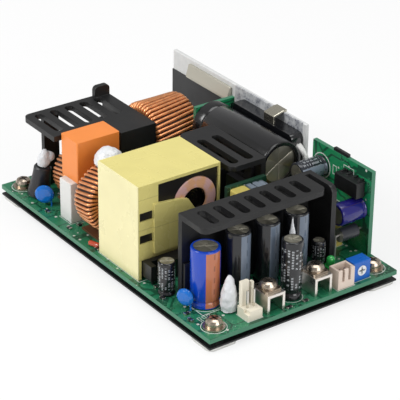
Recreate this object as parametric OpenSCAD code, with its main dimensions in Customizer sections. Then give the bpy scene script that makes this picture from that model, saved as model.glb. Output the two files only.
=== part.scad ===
// Open frame switch-mode power supply on a 5 x 3 inch circuit board.
// Frame: +Z up, origin under the middle of the board on the surface it stands on,
// +X towards the output edge, +Y towards the rear heat plate.

/* [Circuit board] */
// Length of the circuit board along X
board_l = 127; // [126:0.5:130]
// Width of the circuit board along Y
board_w = 76.2; // [76:0.1:84]
// Thickness of the circuit board
board_t = 1.6; // [1:0.1:2.4]
// Distance of the mounting holes from both edges of their corner
hole_inset = 5.7; // [5.7:0.1:6.2]
// Bore of the mounting holes in the board
board_hole_d = 3.5; // [3.4:0.05:3.8]

/* [Underside] */
// Clearance round a foot's neck in the insulating sheet
neck_clear = 0.1; // [0:0.05:0.3]
// Thickness of the black insulating sheet
sheet_t = 0.6; // [0.3:0.1:1]
// Air gap between the insulating sheet and the board
air_gap = 1.7; // [1:0.1:4]
// Side of a square corner foot
foot_side = 11.4; // [8:0.1:11.4]
// Thickness of a corner foot's flange
foot_flange_t = 1; // [0.6:0.1:2]
// Diameter of the round neck on a corner foot
foot_neck_d = 6.4; // [5:0.1:7.4]
// Thread size of a corner foot: its upper bore, which takes the corner screw
foot_bore_d = 3; // [2.9:0.05:3.2]
// Tap drill of a corner foot: its lower bore, which takes a chassis screw
foot_tap_d = 2.5; // [2.4:0.05:2.6]

/* [Corner screws] */
// Diameter of a screw head
screw_head_d = 5.6; // [4.6:0.1:6.4]
// Height of a screw head
screw_head_h = 2.2; // [1.4:0.1:2.6]
// Diameter of the flat washer
washer_d = 7.4; // [6.8:0.1:7.4]
// Thickness of the flat washer
washer_t = 0.6; // [0.4:0.1:1]
// How far a screw reaches into its corner foot
screw_grip = 1.2; // [0.6:0.1:1.6]

/* [Main transformer] */
// Length of the taped transformer along X
tx_l = 23.4; // [21:0.1:25]
// Width of the taped transformer along Y
tx_w = 32.6; // [30:0.1:33.2]
// Height of the taped transformer
tx_h = 34.2; // [31:0.1:36]
// Thickness of the yellow tape
tape_t = 0.8; // [0.4:0.1:1.2]
// Outer diameter of the coil that shows in the window
coil_d = 17.4; // [14:0.1:18]
// Inner diameter of that coil
coil_bore_d = 9; // [6:0.1:11]
// How far the black pin base stands out on the output side
tx_base_l = 5.2; // [3:0.1:6]
// Height of the black pin base
tx_base_h = 7; // [5:0.1:8]

/* [Heat sinks] */
// Sheet thickness of the black heat sinks
sink_t = 2; // [1.2:0.1:2.1]
// Distance between neighbouring ventilation slots
slot_pitch = 6.1; // [5:0.1:6.4]
// Width of a ventilation slot
slot_w = 3.2; // [2:0.1:4]
// Height of the output heat sink
out_sink_h = 30.5; // [28.5:0.1:33]
// Length of the output heat sink's wall along Y
out_sink_l = 53; // [52:0.1:54]
// Depth of the output heat sink's top along X
out_sink_w = 13.9; // [13.5:0.1:14.4]
// Number of slots in the output heat sink
out_sink_slots = 7; // [4:1:7]
// Height of the middle heat sink
mid_sink_h = 32; // [30.5:0.1:34]
// Length of the middle heat sink along X
mid_sink_l = 30.7; // [27:0.1:31]
// Depth of the middle heat sink's top along Y
mid_sink_w = 14.4; // [13:0.1:15]
// Height of the input heat sink
in_sink_h = 29; // [27:0.1:30]
// Length of the input heat sink along X
in_sink_l = 31.3; // [29:0.1:32]
// Depth of the input heat sink's top along Y
in_sink_w = 35; // [32:0.1:35.3]
// Number of slots in the input heat sink
in_sink_slots = 5; // [3:1:5]

/* [Rear heat plate] */
// Thickness of the bare aluminium heat plate
plate_t = 1.5; // [1:0.1:1.6]
// Length of the heat plate along X
plate_l = 78.6; // [75:0.1:80]
// Height of the heat plate above the board
plate_h = 34.3; // [33:0.1:36]

/* [Chokes] */
// Outer diameter of the wound power choke
pfc_d = 24.4; // [22:0.1:25.5]
// Length of the wound power choke along its axis
pfc_l = 19.6; // [14:0.1:21]
// Bore that is left inside the wound power choke
pfc_bore_d = 9; // [7:0.1:11]
// Wire size of the power choke
pfc_wire = 1.2; // [0.8:0.1:1.3]
// Number of turns on the power choke
pfc_turns = 54; // [36:1:56]
// Outer diameter of the wound line choke by the transformer
choke_b_d = 23.6; // [19:0.1:24]
// Outer diameter of the wound line choke under the heat sink
choke_a_d = 19.4; // [17:0.1:20]
// Length of the line choke by the transformer along its axis
choke_b_l = 10.4; // [8:0.1:10.6]
// Length of the line choke under the heat sink along its axis
choke_a_l = 9.4; // [8:0.1:9.5]
// Wire size of the line chokes
choke_wire = 1; // [0.6:0.1:1.1]
// Number of turns on a line choke
choke_turns = 36; // [24:1:44]

/* [Bulk capacitors] */
// Diameter of a bulk capacitor
bulk_d = 16.4; // [14:0.1:16.5]
// Length of a bulk capacitor
bulk_l = 40.2; // [36:0.1:41]
// Thickness of the small upright boards
card_t = 1.6; // [1:0.1:2]

/* [Output capacitors] */
// Diameter of the blue output capacitor
blue_cap_d = 9.8; // [8:0.1:10]
// Height of the blue output capacitor
blue_cap_h = 21; // [15:0.1:26]
// Diameter of the three tall output capacitors
tall_cap_d = 8.4; // [7:0.1:10]
// Height of the three tall output capacitors
tall_cap_h = 24; // [16:0.1:26]
// Diameter of the slim capacitor between the terminals
slim_cap_d = 7; // [5:0.1:7.8]
// Height of the slim capacitor between the terminals
slim_cap_h = 21.3; // [14:0.1:26]

/* [Terminals and headers] */
// Length of an output terminal along X
term_l = 9.2; // [7.5:0.1:9.5]
// Width of an output terminal along Y
term_w = 7; // [6:0.1:7.6]
// Height of an output terminal
term_h = 6.5; // [5:0.1:8]
// Sheet thickness of an output terminal
term_t = 1; // [0.6:0.1:1.2]
// Head diameter of a terminal screw
term_screw_d = 6; // [5:0.1:6.6]
// Height of the fan header's latch
latch_h = 12; // [8:0.1:14]
// Height of the signal header
header_h = 7; // [5:0.1:9]

/* [Trimmer] */
// Side of the square trimmer body
trim_side = 7; // [6.4:0.1:7.2]
// Depth of the trimmer body along X
trim_t = 4.6; // [4:0.1:5]
// Diameter of the turning adjuster
rotor_d = 3.6; // [3:0.1:4.4]
// Radial clearance round the adjuster
rotor_clear = 0.05; // [0.02:0.01:0.1]

/* [Hidden] */
$fn = 48;

// Edges of the board, and the heights of its two faces
out_edge = board_l / 2;
in_edge = -board_l / 2;
rear_edge = board_w / 2;
front_edge = -board_w / 2;
hole_pitch_x = board_l - 2 * hole_inset;
hole_pitch_y = board_w - 2 * hole_inset;
sheet_z = foot_flange_t;
board_z = sheet_z + sheet_t + air_gap;
board_top = board_z + board_t;
foot_tap_l = board_z - screw_grip - 0.1;

// Main transformer
tx_x1 = out_edge - 42.6;
tx_x0 = tx_x1 - tx_l;
tx_y0 = front_edge + 2;
tx_y1 = tx_y0 + tx_w;
coil_y = tx_y1 - tape_t - coil_d / 2 - 0.2;
coil_z = tx_h - 11.7;
coil_recess = tape_t - 0.2;
window_margin = 8;
window_z0 = tx_base_h + 1.5;

// Output heat sink: the wall's back face, its two ends and the slot that frees its top
os_x0 = out_edge - 27.1;
os_x1 = os_x0 + out_sink_w;
os_y0 = front_edge + 6.9;
os_y1 = os_y0 + out_sink_l;
os_relief = 2;
os_top_y1 = os_y1 - sink_t - os_relief;
os_face = os_x0 + sink_t;

// Middle heat sink
ms_x1 = tx_x1 + 2.3;
ms_x0 = ms_x1 - mid_sink_l;
ms_y0 = tx_y1 + 2.7;
ms_y1 = ms_y0 + mid_sink_w;
ms_slots = 2;

// Bulk capacitors, one above the other behind the middle heat sink
bulk_y = ms_y1 + 1.4 + bulk_d / 2;
bulk_x1 = tx_x1 - 2.1;
bulk_x0 = bulk_x1 - bulk_l;
bulk_z_low = bulk_d / 2 + 0.05;
bulk_z_high = bulk_z_low + bulk_d + 0.1;
bulk_card_y0 = bulk_y - 6.3;
bulk_card_w = 16.8;
bulk_card_h = bulk_z_high + 7.1;

// Rear heat plate with what is clamped to it
plate_y0 = rear_edge - plate_t;
plate_x0 = in_edge;
plate_x1 = plate_x0 + plate_l;
film_t = 0.4;
film_h = 26.8;
bar_x0 = plate_x0 + 11;
bar_h = 5;
bar_t = 2.2;
bar_z = film_h + 1;
cover_x0 = bulk_x0 + 0.2;
cover_x1 = plate_x1 - 1.2;
film_l = cover_x0 - 2.8 - plate_x0;
bar_l = film_l - (bar_x0 - plate_x0) - 3;
cover_y0 = bulk_y + bulk_d / 2 + 0.3;
cover_z0 = 5;
cover_z1 = plate_h - 3.4;
cover_t = 0.5;
clip_w = 5.6;
clip_t = 0.8;
clip_l = 5.9;
clip_drop = 1.2;
clip_x = plate_x1 - 17.8;

// Input heat sink with its notch for the film capacitor
film_cap = [10.3, 17.2, 15.2];
block_cap = [7.1, 4.6, 15.2];
is_x0 = in_edge + 7.8;
is_x1 = is_x0 + in_sink_l;
is_y0 = front_edge + 5.1;
is_y1 = is_y0 + in_sink_w;
film_cap_x0 = is_x0 + 22.1;
film_cap_y0 = is_y0 + 2;
film_cap_z0 = block_cap[2];
notch_gap = 1.2;
notch_x = film_cap_x0 - notch_gap;
notch_y = film_cap_y0 + film_cap[1] + notch_gap;
leg_w = 6.2;
leg_y = is_y0 + 7.3;
ear_w = 6.2;
ear_h = 4;

// Chokes
pfc_gap = 1.3;
pfc_x = bulk_x0 - card_t - pfc_gap - pfc_d / 2;
pfc_y0 = is_y1 + 0.9;
pfc_lift = 6.6;
pfc_z = pfc_lift + pfc_d / 2;
seat_t = 0.8;
choke_b_x0 = tx_x0 - 16.8;
choke_b_y = front_edge + 13.8;
choke_b_z = seat_t + choke_b_d / 2;
choke_a_x0 = is_x0 + 12.2;
choke_a_y = front_edge + 18.1;
choke_a_z = seat_t + choke_a_d / 2;
choke_bore = 8;

// Output side, measured from the heat sink's face and the board's output edge
out_cap_gap = 1.2;
blue_cap_x = os_face + out_cap_gap + blue_cap_d / 2;
blue_cap_y = front_edge + 11.8;
tall_cap_x = os_face + 3.4 + tall_cap_d / 2;
tall_cap_ys = [front_edge + 23.4, front_edge + 35, front_edge + 46.8];
slim_cap_x = out_edge - 6.6;
slim_cap_y = front_edge + 36.9;
term_x0 = out_edge - 1.7 - term_l;
term_ys = [front_edge + 23.7, front_edge + 42.9];
header_x1 = out_edge - 0.6;
header_x0 = header_x1 - 5;
header_y0 = front_edge + 51.6;
header_w = 6.8;
header_wall = 0.8;
fan_x1 = out_edge - 1.7;
fan_l = 5.8;
fan_y0 = front_edge + 16.1;
fan_w = 5.6;
fan_base_h = 3.4;
trim_x1 = out_edge - 1.7;
trim_x0 = trim_x1 - trim_t;
trim_y = header_y0 + header_w + 0.6 + trim_side / 2;
trim_z = trim_side / 2;
rotor_t = 1.4;
led_d = 3.8;
led_x = header_x0 - 5;
led_y = front_edge + 56.4;

// Daughter board at the rear edge, and the control card by the middle heat sink
db_l = 30.8;
db_x0 = max(plate_x1 + 4.4, bulk_x1 + 0.7);
db_x1 = db_x0 + db_l;
db_h = 31;
db_y0 = rear_edge - card_t;
card_x0 = ms_x1 + 1.4;
card_y0 = ms_y0 - 3.6;
card_w = 16;
card_h = 27;

module on_board() {
    translate([0, 0, board_top]) children();
}

// Calls its children at the four mounting holes.
module at_holes() {
    for (x = [-1, 1], y = [-1, 1]) translate([x * hole_pitch_x / 2, y * hole_pitch_y / 2, 0]) children();
}

// Rectangle with round corners, from the origin to its far corner
module soft_rect(size, r) {
    translate([r, 0]) square([size[0] - 2 * r, size[1]]);
    translate([0, r]) square([size[0], size[1] - 2 * r]);
    for (x = [r, size[0] - r], y = [r, size[1] - r]) translate([x, y]) circle(r);
}

// Slot with round ends along X, centred on the origin
module slot(l, w) {
    square([l - w, w], center = true);
    for (x = [-1, 1]) translate([x * (l - w) / 2, 0]) circle(w / 2);
}

// Box with round upright edges
module soft_box(size, r) {
    linear_extrude(size[2]) soft_rect([size[0], size[1]], r);
}

// Electrolytic can standing on the origin: rolled sleeve, bead and scored vent
module can(d, h) {
    r = d / 2;
    rim = 0.09 * d;
    bead_z = 0.12 * h;
    difference() {
        rotate_extrude() polygon([
            [0, 0], [r - 0.3, 0], [r, 0.3], [r, bead_z - 0.5], [r - 0.35, bead_z], [r, bead_z + 0.5],
            [r, h - 0.4], [r - 0.4, h], [r - rim, h], [r - rim, h - 0.35], [0, h - 0.35]]);
        for (a = [0, 60, 120]) rotate([0, 0, a])
            translate([-0.15, 0, h - 0.55]) cube([0.3, r - rim - 0.6, 1]);
    }
}

// Pan-head screw on the origin with its shank below, and a cross recess
module pan_screw(head_d, head_h, shank_d, shank_l) {
    difference() {
        union() {
            rotate_extrude() polygon([
                [0, 0], [head_d / 2, 0], [head_d / 2, 0.4 * head_h], [0.42 * head_d, 0.8 * head_h],
                [0.28 * head_d, head_h], [0, head_h]]);
            translate([0, 0, -shank_l]) cylinder(d = shank_d, h = shank_l + 0.1);
        }
        for (a = [0, 90]) rotate([0, 0, a])
            translate([-0.3 * head_d, -0.35, 0.45 * head_h]) cube([0.6 * head_d, 0.7, head_h]);
    }
}

// Ring core round Z, with chamfered rims
module ring_core(d, bore, l, chamfer) {
    rotate_extrude() polygon([
        [bore / 2, 0], [d / 2 - chamfer, 0], [d / 2, chamfer], [d / 2, l - chamfer],
        [d / 2 - chamfer, l], [bore / 2, l]]);
}

// Winding round a ring core: one closed turn per wire, each a thin sector of the coil
module ring_winding(d, bore, l, wire, turns) {
    chamfer = 0.55 * wire;
    pitch = 360 / turns;
    span = min(0.86 * pitch, 2 * asin(wire / d));
    for (i = [0 : turns - 1]) rotate([0, 0, (i + 0.5) * pitch])
        rotate_extrude(angle = span) difference() {
            polygon([
                [bore / 2, chamfer], [bore / 2 + chamfer, 0], [d / 2 - chamfer, 0], [d / 2, chamfer],
                [d / 2, l - chamfer], [d / 2 - chamfer, l], [bore / 2 + chamfer, l],
                [bore / 2, l - chamfer]]);
            translate([bore / 2 + wire, wire]) square([(d - bore) / 2 - 2 * wire, l - 2 * wire]);
        }
}

// Lays a shape that stands along Z down along X, or along Y
module along_x() {
    rotate([0, 90, 0]) children();
}

module along_y() {
    rotate([-90, 0, 0]) children();
}

// Power transistor, flat on the X-Z plane with its back at y = 0 and its legs down
module transistor(body_w, body_h, body_t) {
    tab_t = 1.3;
    translate([-body_w / 2, -body_t, 0]) cube([body_w, body_t, body_h]);
    translate([-body_w / 2, -tab_t, body_h]) difference() {
        cube([body_w, tab_t, 0.38 * body_h]);
        translate([body_w / 2, -1, 0.2 * body_h]) along_y() cylinder(d = 3, h = tab_t + 2);
    }
}

module legs(pitch, z, y) {
    for (i = [-1 : 1]) translate([i * pitch - 0.35, y - 0.3, 0]) cube([0.7, 0.6, z]);
}

module circuit_board() {
    color("seagreen") difference() {
        translate([in_edge, front_edge, board_z]) cube([board_l, board_w, board_t]);
        at_holes() translate([0, 0, board_z - 1]) cylinder(d = board_hole_d, h = board_t + 2);
    }
}

module insulating_sheet() {
    color("black") difference() {
        translate([in_edge, front_edge, sheet_z]) cube([board_l, board_w, sheet_t]);
        at_holes() translate([0, 0, sheet_z - 1]) cylinder(d = foot_neck_d + 2 * neck_clear, h = sheet_t + 2);
    }
}

module corner_feet() {
    color("gainsboro") at_holes() difference() {
        union() {
            translate([-foot_side / 2, -foot_side / 2, 0])
                soft_box([foot_side, foot_side, foot_flange_t], 2.5);
            cylinder(d = foot_neck_d, h = board_z);
        }
        translate([0, 0, -1]) cylinder(d = foot_tap_d, h = board_z + 2);
        translate([0, 0, foot_tap_l]) cylinder(d = foot_bore_d, h = board_z);
    }
}

module corner_washers() {
    color("silver") on_board() at_holes() difference() {
        union() {
            cylinder(d = washer_d, h = washer_t);
            cylinder(d = screw_head_d + 0.2, h = 2 * washer_t);
        }
        translate([0, 0, -1]) cylinder(d = board_hole_d, h = 2 * washer_t + 2);
    }
}

module corner_screws() {
    shank_l = 2 * washer_t + board_t + screw_grip;
    color("lightgray") on_board() at_holes() translate([0, 0, 2 * washer_t])
        pan_screw(screw_head_d, screw_head_h, foot_bore_d - 0.1, shank_l);
}

// The ferrite core with the recess that the coil stands in
module transformer_core() {
    recess = 3;
    color("#202022") on_board() difference() {
        translate([tx_x0 + tape_t, tx_y0 + tape_t, tape_t])
            cube([tx_l - 2 * tape_t, tx_w - 2 * tape_t, tx_h - 2 * tape_t]);
        translate([tx_x1 - tape_t - recess, coil_y, coil_z]) along_x()
            cylinder(d = coil_d, h = recess + 1);
    }
}

// The yellow tape: a wrap with windows on the output side and a belt across the coil
module transformer_tape() {
    y_mid = tx_y0 + window_margin - 2;
    color("khaki") on_board() {
        difference() {
            translate([tx_x0, tx_y0, 0]) cube([tx_l, tx_w, tx_h]);
            translate([tx_x0 + tape_t, tx_y0 + tape_t, tape_t])
                cube([tx_l - 2 * tape_t, tx_w - 2 * tape_t, tx_h - 2 * tape_t]);
            translate([tx_x1 - tape_t - 1, tx_y0 + window_margin, window_z0])
                cube([tape_t + 2, tx_w - window_margin - tape_t, tx_h - window_z0 - 1.2]);
            translate([tx_x1 - tape_t - 1, tx_y0 + 1.4, -1])
                cube([tape_t + 2, tx_w - 2.4, tx_base_h + 1]);
            for (z = [tx_h - 13, tx_h - 21.2]) translate([tx_x1 - tape_t - 1, tx_y0 + tape_t, z])
                cube([tape_t + 2, y_mid - tx_y0 - tape_t, 3.2]);
        }
        belt();
    }
}

// Tape belt that holds the lower half of the coil
module belt() {
    y0 = tx_y0 + window_margin - 2;
    y1 = coil_y - 0.8;
    z1 = coil_z + 3.2;
    translate([tx_x1 - coil_recess, 0, 0]) rotate([90, 0, 90]) linear_extrude(coil_recess + 0.7)
        polygon([[y0, window_z0], [y0, z1 + 1], [y0 + 10, z1], [y1 - 2.6, z1 - 1], [y1, z1 - 5],
            [y1, window_z0]]);
}

module transformer_coil() {
    depth = 3 + tape_t - coil_recess;
    color("burlywood") on_board() translate([tx_x1 - coil_recess - depth, coil_y, coil_z]) along_x()
        difference() {
            cylinder(d = coil_d - 0.2, h = depth);
            translate([0, 0, 0.8]) cylinder(d = coil_bore_d, h = depth);
        }
}

module transformer_base() {
    y0 = tx_y0 + 1.6;
    w = tx_w - 2.8;
    pin_d = 1;
    color("#1a1a1a") on_board() {
        translate([tx_x1 - tape_t, y0, 1.5]) difference() {
            cube([tx_base_l + tape_t, w, tx_base_h - 1.5]);
            translate([tape_t + 2, 2, 2]) cube([tx_base_l, 4.5, tx_base_h]);
        }
        for (i = [0 : 6]) translate([tx_x1 + tx_base_l - 1, y0 + 1.2 + i * (w - 2.4) / 6, 0])
            cylinder(d = pin_d, h = 1.6);
    }
}

// Wall and side wall standing on the board, and the slotted top bent over the capacitors
module output_heat_sink() {
    corner_r = 2.6;
    top_l = os_top_y1 - os_y0;
    color("#2c2c2e") on_board() {
        translate([os_x0, os_y0, 0]) cube([sink_t, out_sink_l, out_sink_h]);
        translate([os_x0, os_y1, 0]) rotate([90, 0, 0]) linear_extrude(sink_t) union() {
            square([out_sink_w - corner_r, out_sink_h]);
            square([out_sink_w, out_sink_h - corner_r]);
            translate([out_sink_w - corner_r, out_sink_h - corner_r]) circle(corner_r);
        }
        translate([os_x0, os_y0, out_sink_h - sink_t]) linear_extrude(sink_t) difference() {
            union() {
                square([out_sink_w - corner_r, top_l]);
                translate([0, corner_r]) square([out_sink_w, top_l - 2 * corner_r]);
                for (y = [corner_r, top_l - corner_r]) translate([out_sink_w - corner_r, y]) circle(corner_r);
            }
            for (i = [0 : out_sink_slots - 1])
                translate([out_sink_w / 2 + 0.5, top_l / 2 + (i - (out_sink_slots - 1) / 2) * slot_pitch])
                    slot(out_sink_w - 4.4, slot_w);
        }
    }
}

module middle_heat_sink() {
    corner_r = 2.6;
    color("#2c2c2e") on_board() {
        translate([ms_x0, ms_y1 - sink_t, 0]) cube([mid_sink_l, sink_t, mid_sink_h]);
        translate([ms_x0, ms_y0, mid_sink_h - sink_t]) linear_extrude(sink_t) difference() {
            union() {
                translate([0, corner_r]) square([mid_sink_l, mid_sink_w - corner_r]);
                translate([corner_r, 0]) square([mid_sink_l - 2 * corner_r, mid_sink_w]);
                for (x = [corner_r, mid_sink_l - corner_r]) translate([x, corner_r]) circle(corner_r);
            }
            for (i = [0 : ms_slots - 1])
                translate([mid_sink_l / 2 + 2.6, 3.7 + i * slot_pitch]) slot(mid_sink_l - 9.6, slot_w);
        }
    }
}

// Slotted top with its notch, an ear and a leg on the input side, a rear wall and a side wall
module input_heat_sink() {
    corner_r = 2.6;
    color("#2c2c2e") on_board() {
        translate([is_x0, is_y0, in_sink_h - sink_t]) linear_extrude(sink_t) difference() {
            union() {
                translate([corner_r, 0]) square([in_sink_l - corner_r, in_sink_w]);
                translate([0, corner_r]) square([in_sink_l, in_sink_w - corner_r]);
                translate([corner_r, corner_r]) circle(corner_r);
            }
            translate([notch_x - is_x0, -1]) square([in_sink_l, notch_y - is_y0 + 1]);
            for (i = [0 : in_sink_slots - 1])
                translate([10, 4.6 + i * slot_pitch]) slot(15.6, slot_w);
        }
        translate([is_x0, leg_y, 0]) cube([sink_t, leg_w, in_sink_h]);
        translate([is_x0, is_y1 - ear_w, in_sink_h - sink_t]) rotate([90, 0, 90])
            linear_extrude(sink_t) soft_rect([ear_w, ear_h + sink_t], 1.6);
        translate([is_x0, is_y1 - sink_t, 0]) cube([in_sink_l, sink_t, in_sink_h]);
        translate([is_x1 - sink_t, notch_y, 0]) cube([sink_t, is_y1 - notch_y, in_sink_h]);
    }
}

module rear_heat_plate() {
    color("#e4e4e2") on_board() translate([plate_x0, plate_y0, 0]) cube([plate_l, plate_t, plate_h]);
}

module rear_insulating_film() {
    color("#333335") on_board() translate([plate_x0, plate_y0 - film_t, 0]) cube([film_l, film_t, film_h]);
}

// Clamp bar on the plate, with a sloping top edge
module rear_clamp_bar() {
    color("#c9c8bf") on_board() translate([bar_x0, plate_y0, bar_z]) rotate([90, 0, 90])
        linear_extrude(bar_l) polygon([[0, 0], [0, bar_h], [-1, bar_h], [-bar_t, 0.9], [-bar_t, 0]]);
}

// Glossy film cover over the transistors, open below and towards the plate
module device_cover() {
    l = cover_x1 - cover_x0;
    h = cover_z1 - cover_z0;
    depth = plate_y0 - cover_y0;
    color("#26282b") on_board() translate([cover_x0, plate_y0, cover_z0]) rotate([90, 0, 0])
        difference() {
            linear_extrude(depth) soft_rect([l, h], 2);
            translate([cover_t, -2, -1]) linear_extrude(depth - cover_t + 1)
                soft_rect([l - 2 * cover_t, h + 2 - cover_t], 2 - cover_t);
        }
}

// Spring clip: a leaf on the plate's top edge that slopes forward and presses on the cover
module spring_clip() {
    y0 = rear_edge - clip_l;
    z0 = plate_h - clip_drop;
    color("#d6d4cc") on_board() translate([clip_x, 0, 0]) rotate([90, 0, 90]) linear_extrude(clip_w)
        polygon([[y0, cover_z1], [y0, z0 + clip_t], [plate_y0, plate_h + clip_t],
            [rear_edge, plate_h + clip_t], [rear_edge, plate_h], [plate_y0, plate_h],
            [y0 + clip_t, z0], [y0 + clip_t, cover_z1]]);
}

module rear_transistors() {
    n = 3;
    step = (cover_x1 - cover_x0) / n;
    device_gap = 1.9;
    color("#1c1c1e") on_board() for (i = [0 : n - 1])
        translate([cover_x0 + (i + 0.5) * step, plate_y0, 0]) {
            translate([0, 0, cover_z0 + 2]) transistor(step - device_gap, 14.5, 3.6);
            legs(2.5, cover_z0 + 2.1, -2);
        }
}

module bridge_rectifier() {
    w = 18;
    x = is_x0 + sink_t + 1.5;
    y = is_y1 - sink_t;
    color("#1c1c1e") on_board() {
        translate([x, y - 3.6, 6]) difference() {
            cube([w, 3.6, 16]);
            translate([w / 2, -1, 8]) along_y() cylinder(d = 3.2, h = 6);
        }
        for (i = [0 : 3]) translate([x + 2 + i * (w - 4) / 3, y - 2, 0]) cylinder(d = 1, h = 6.1);
    }
}

module switching_transistors() {
    color("#1c1c1e") on_board() for (i = [0, 1])
        translate([ms_x0 + 9 + i * 13, ms_y1 - sink_t, 0]) {
            translate([0, 0, 8]) transistor(10, 14, 4.2);
            legs(2.5, 8.1, -2.4);
        }
}

// Two rectifiers behind the output heat sink and the tab of a third one in front of it
module output_rectifiers() {
    color("#1c1c1e") on_board() {
        for (i = [0, 1]) translate([os_x0, os_y0 + 30 + i * 13, 0]) rotate([0, 0, -90]) {
            translate([0, 0, 6]) transistor(10, 13, 3.8);
            legs(2.5, 6.1, -2.2);
        }
        translate([os_face, os_y0 + 0.6, 0]) cube([out_cap_gap - 0.2, 6, 13]);
    }
}

module upper_bulk_capacitor() {
    color("#232325") on_board() translate([bulk_x0, bulk_y, bulk_z_high]) along_x() can(bulk_d, bulk_l);
}

module lower_bulk_capacitor() {
    color("#232325") on_board() translate([bulk_x0, bulk_y, bulk_z_low]) along_x() can(bulk_d, bulk_l);
}

module capacitor_board() {
    color("seagreen") on_board() translate([bulk_x0 - card_t, bulk_card_y0, 0])
        cube([card_t, bulk_card_w, bulk_card_h]);
}

module power_choke_core() {
    color("#3d4a3a") on_board() translate([pfc_x, pfc_y0 + pfc_wire, pfc_z]) along_y()
        ring_core(pfc_d - 2 * pfc_wire, pfc_bore_d + 2 * pfc_wire, pfc_l - 2 * pfc_wire, 0.4);
}

module power_choke_winding() {
    color("#b87333") on_board() translate([pfc_x, pfc_y0, pfc_z]) along_y()
        ring_winding(pfc_d, pfc_bore_d, pfc_l, pfc_wire, pfc_turns);
}

module line_choke_a_core() {
    color("#3d4a3a") on_board() translate([choke_a_x0 + choke_wire, choke_a_y, choke_a_z]) along_x()
        ring_core(choke_a_d - 2 * choke_wire, choke_bore + 2 * choke_wire, choke_a_l - 2 * choke_wire, 0.4);
}

module line_choke_a_winding() {
    color("#b87333") on_board() translate([choke_a_x0, choke_a_y, choke_a_z]) along_x()
        ring_winding(choke_a_d, choke_bore, choke_a_l, choke_wire, choke_turns);
}

module line_choke_b_core() {
    color("#3d4a3a") on_board() translate([choke_b_x0 + choke_wire, choke_b_y, choke_b_z]) along_x()
        ring_core(choke_b_d - 2 * choke_wire, choke_bore + 2 * choke_wire, choke_b_l - 2 * choke_wire, 0.4);
}

module line_choke_b_winding() {
    color("#b87333") on_board() translate([choke_b_x0, choke_b_y, choke_b_z]) along_x()
        ring_winding(choke_b_d, choke_bore, choke_b_l, choke_wire, choke_turns);
}

// Cradle under the power choke and flat seats under the line chokes
module choke_bases() {
    cradle_w = 18;
    color("#8a6a45") on_board() {
        difference() {
            translate([pfc_x - cradle_w / 2, pfc_y0 + 1, 0]) cube([cradle_w, pfc_l - 2, pfc_lift + 3]);
            translate([pfc_x, pfc_y0, pfc_z]) along_y() cylinder(d = pfc_d + 0.1, h = pfc_l);
        }
        translate([choke_a_x0, choke_a_y - 7, 0]) cube([choke_a_l, 14, seat_t]);
        translate([choke_b_x0, choke_b_y - 8, 0]) cube([choke_b_l, 16, seat_t]);
    }
}

module line_film_capacitor() {
    lead_x = film_cap_x0 + film_cap[0] / 2;
    lead_y = film_cap_y0 + film_cap[1] / 2 + 1.5;
    color("#f49a4a") on_board() {
        translate([film_cap_x0, film_cap_y0, film_cap_z0]) soft_box(film_cap, 0.5);
        for (i = [-1, 1]) translate([lead_x, lead_y + i * 5, 0]) cylinder(d = 0.8, h = film_cap_z0 + 0.1);
    }
}

module white_film_capacitor() {
    color("#e8e8e6") on_board()
        translate([film_cap_x0 + 2.2, film_cap_y0 - 2.4, 0]) soft_box(block_cap, 0.4);
}

// Places its children on the foot of the leaning fuse, with Z along the fuse.
module on_fuse() {
    lean = 9;
    foot_r = 4.1;
    translate([in_edge + 14.2, front_edge + 6.9, foot_r * sin(lean)]) rotate([0, lean, 45]) children();
}

// Upright fuse in a shrunk sleeve that widens to its foot
module sleeved_fuse() {
    color("#1e1e20") on_board() on_fuse() rotate_extrude() polygon([
        [0, 0], [4.1, 0], [4.1, 1.2], [3.6, 4.2], [3.2, 8], [3.1, 10.6], [2.7, 11.2], [0, 11.2]]);
}

// Blue ceramic discs on short leads
module disc_capacitors() {
    color("#2277cc") on_board() {
        translate([in_edge + 22.5, front_edge + 4.3, 0]) rotate([0, 0, 50]) disc_capacitor(3.4, 2.6);
        translate([out_edge - 19.8, front_edge + 4.6, 0]) rotate([0, 0, 23]) disc_capacitor(3, 2.4);
    }
}

module disc_capacitor(r, t) {
    translate([0, t / 2, r + 1.2]) rotate([90, 0, 0]) rotate_extrude() polygon([
        [0, 0], [0.7 * r, 0.1 * t], [0.93 * r, 0.28 * t], [r, 0.5 * t], [0.93 * r, 0.72 * t],
        [0.7 * r, 0.9 * t], [0, t]]);
    for (x = [0.1, 0.7]) translate([x * r, 0, 0]) cylinder(d = 0.6, h = 2.2);
}

module blue_output_capacitor() {
    color("#1d4fbf") on_board() translate([blue_cap_x, blue_cap_y, 0]) can(blue_cap_d, blue_cap_h);
}

module tall_output_capacitors() {
    color("#2b2c30") on_board() for (y = tall_cap_ys)
        translate([tall_cap_x, y, 0]) can(tall_cap_d, tall_cap_h);
}

module slim_output_capacitor() {
    color("#2b2c30") on_board() translate([slim_cap_x, slim_cap_y, 0]) can(slim_cap_d, slim_cap_h);
}

// The small can beside the transformer and the one under the heat sink's rear end
module small_electrolytics() {
    color("#222226") on_board() {
        translate([tx_x1 + 11.4, front_edge + 5.4, 0]) can(5.8, 12);
        translate([os_x1 - 2.4, os_top_y1 - 0.7, 0]) can(4.8, 11);
    }
}

// Two-way header with a tall latch
module fan_header() {
    color("#e9e6dc") on_board() translate([fan_x1 - fan_l, fan_y0, 0]) {
        difference() {
            cube([fan_l, fan_w, fan_base_h]);
            translate([3.4, -1, 2.2]) cube([fan_l, 1.8, fan_base_h]);
        }
        translate([0, 0.3, fan_base_h]) soft_box([1.5, 3.2, latch_h - fan_base_h], 0.5);
        translate([0, 4.3, fan_base_h]) soft_box([1.5, 1.1, latch_h - 1 - fan_base_h], 0.4);
    }
}

module fan_header_pins() {
    color("silver") on_board() for (y = [1.55, 4.05])
        translate([fan_x1 - fan_l / 2 + 0.2, fan_y0 + y, fan_base_h]) translate([-0.32, -0.32, 0])
            cube([0.64, 0.64, 6.2]);
}

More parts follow.
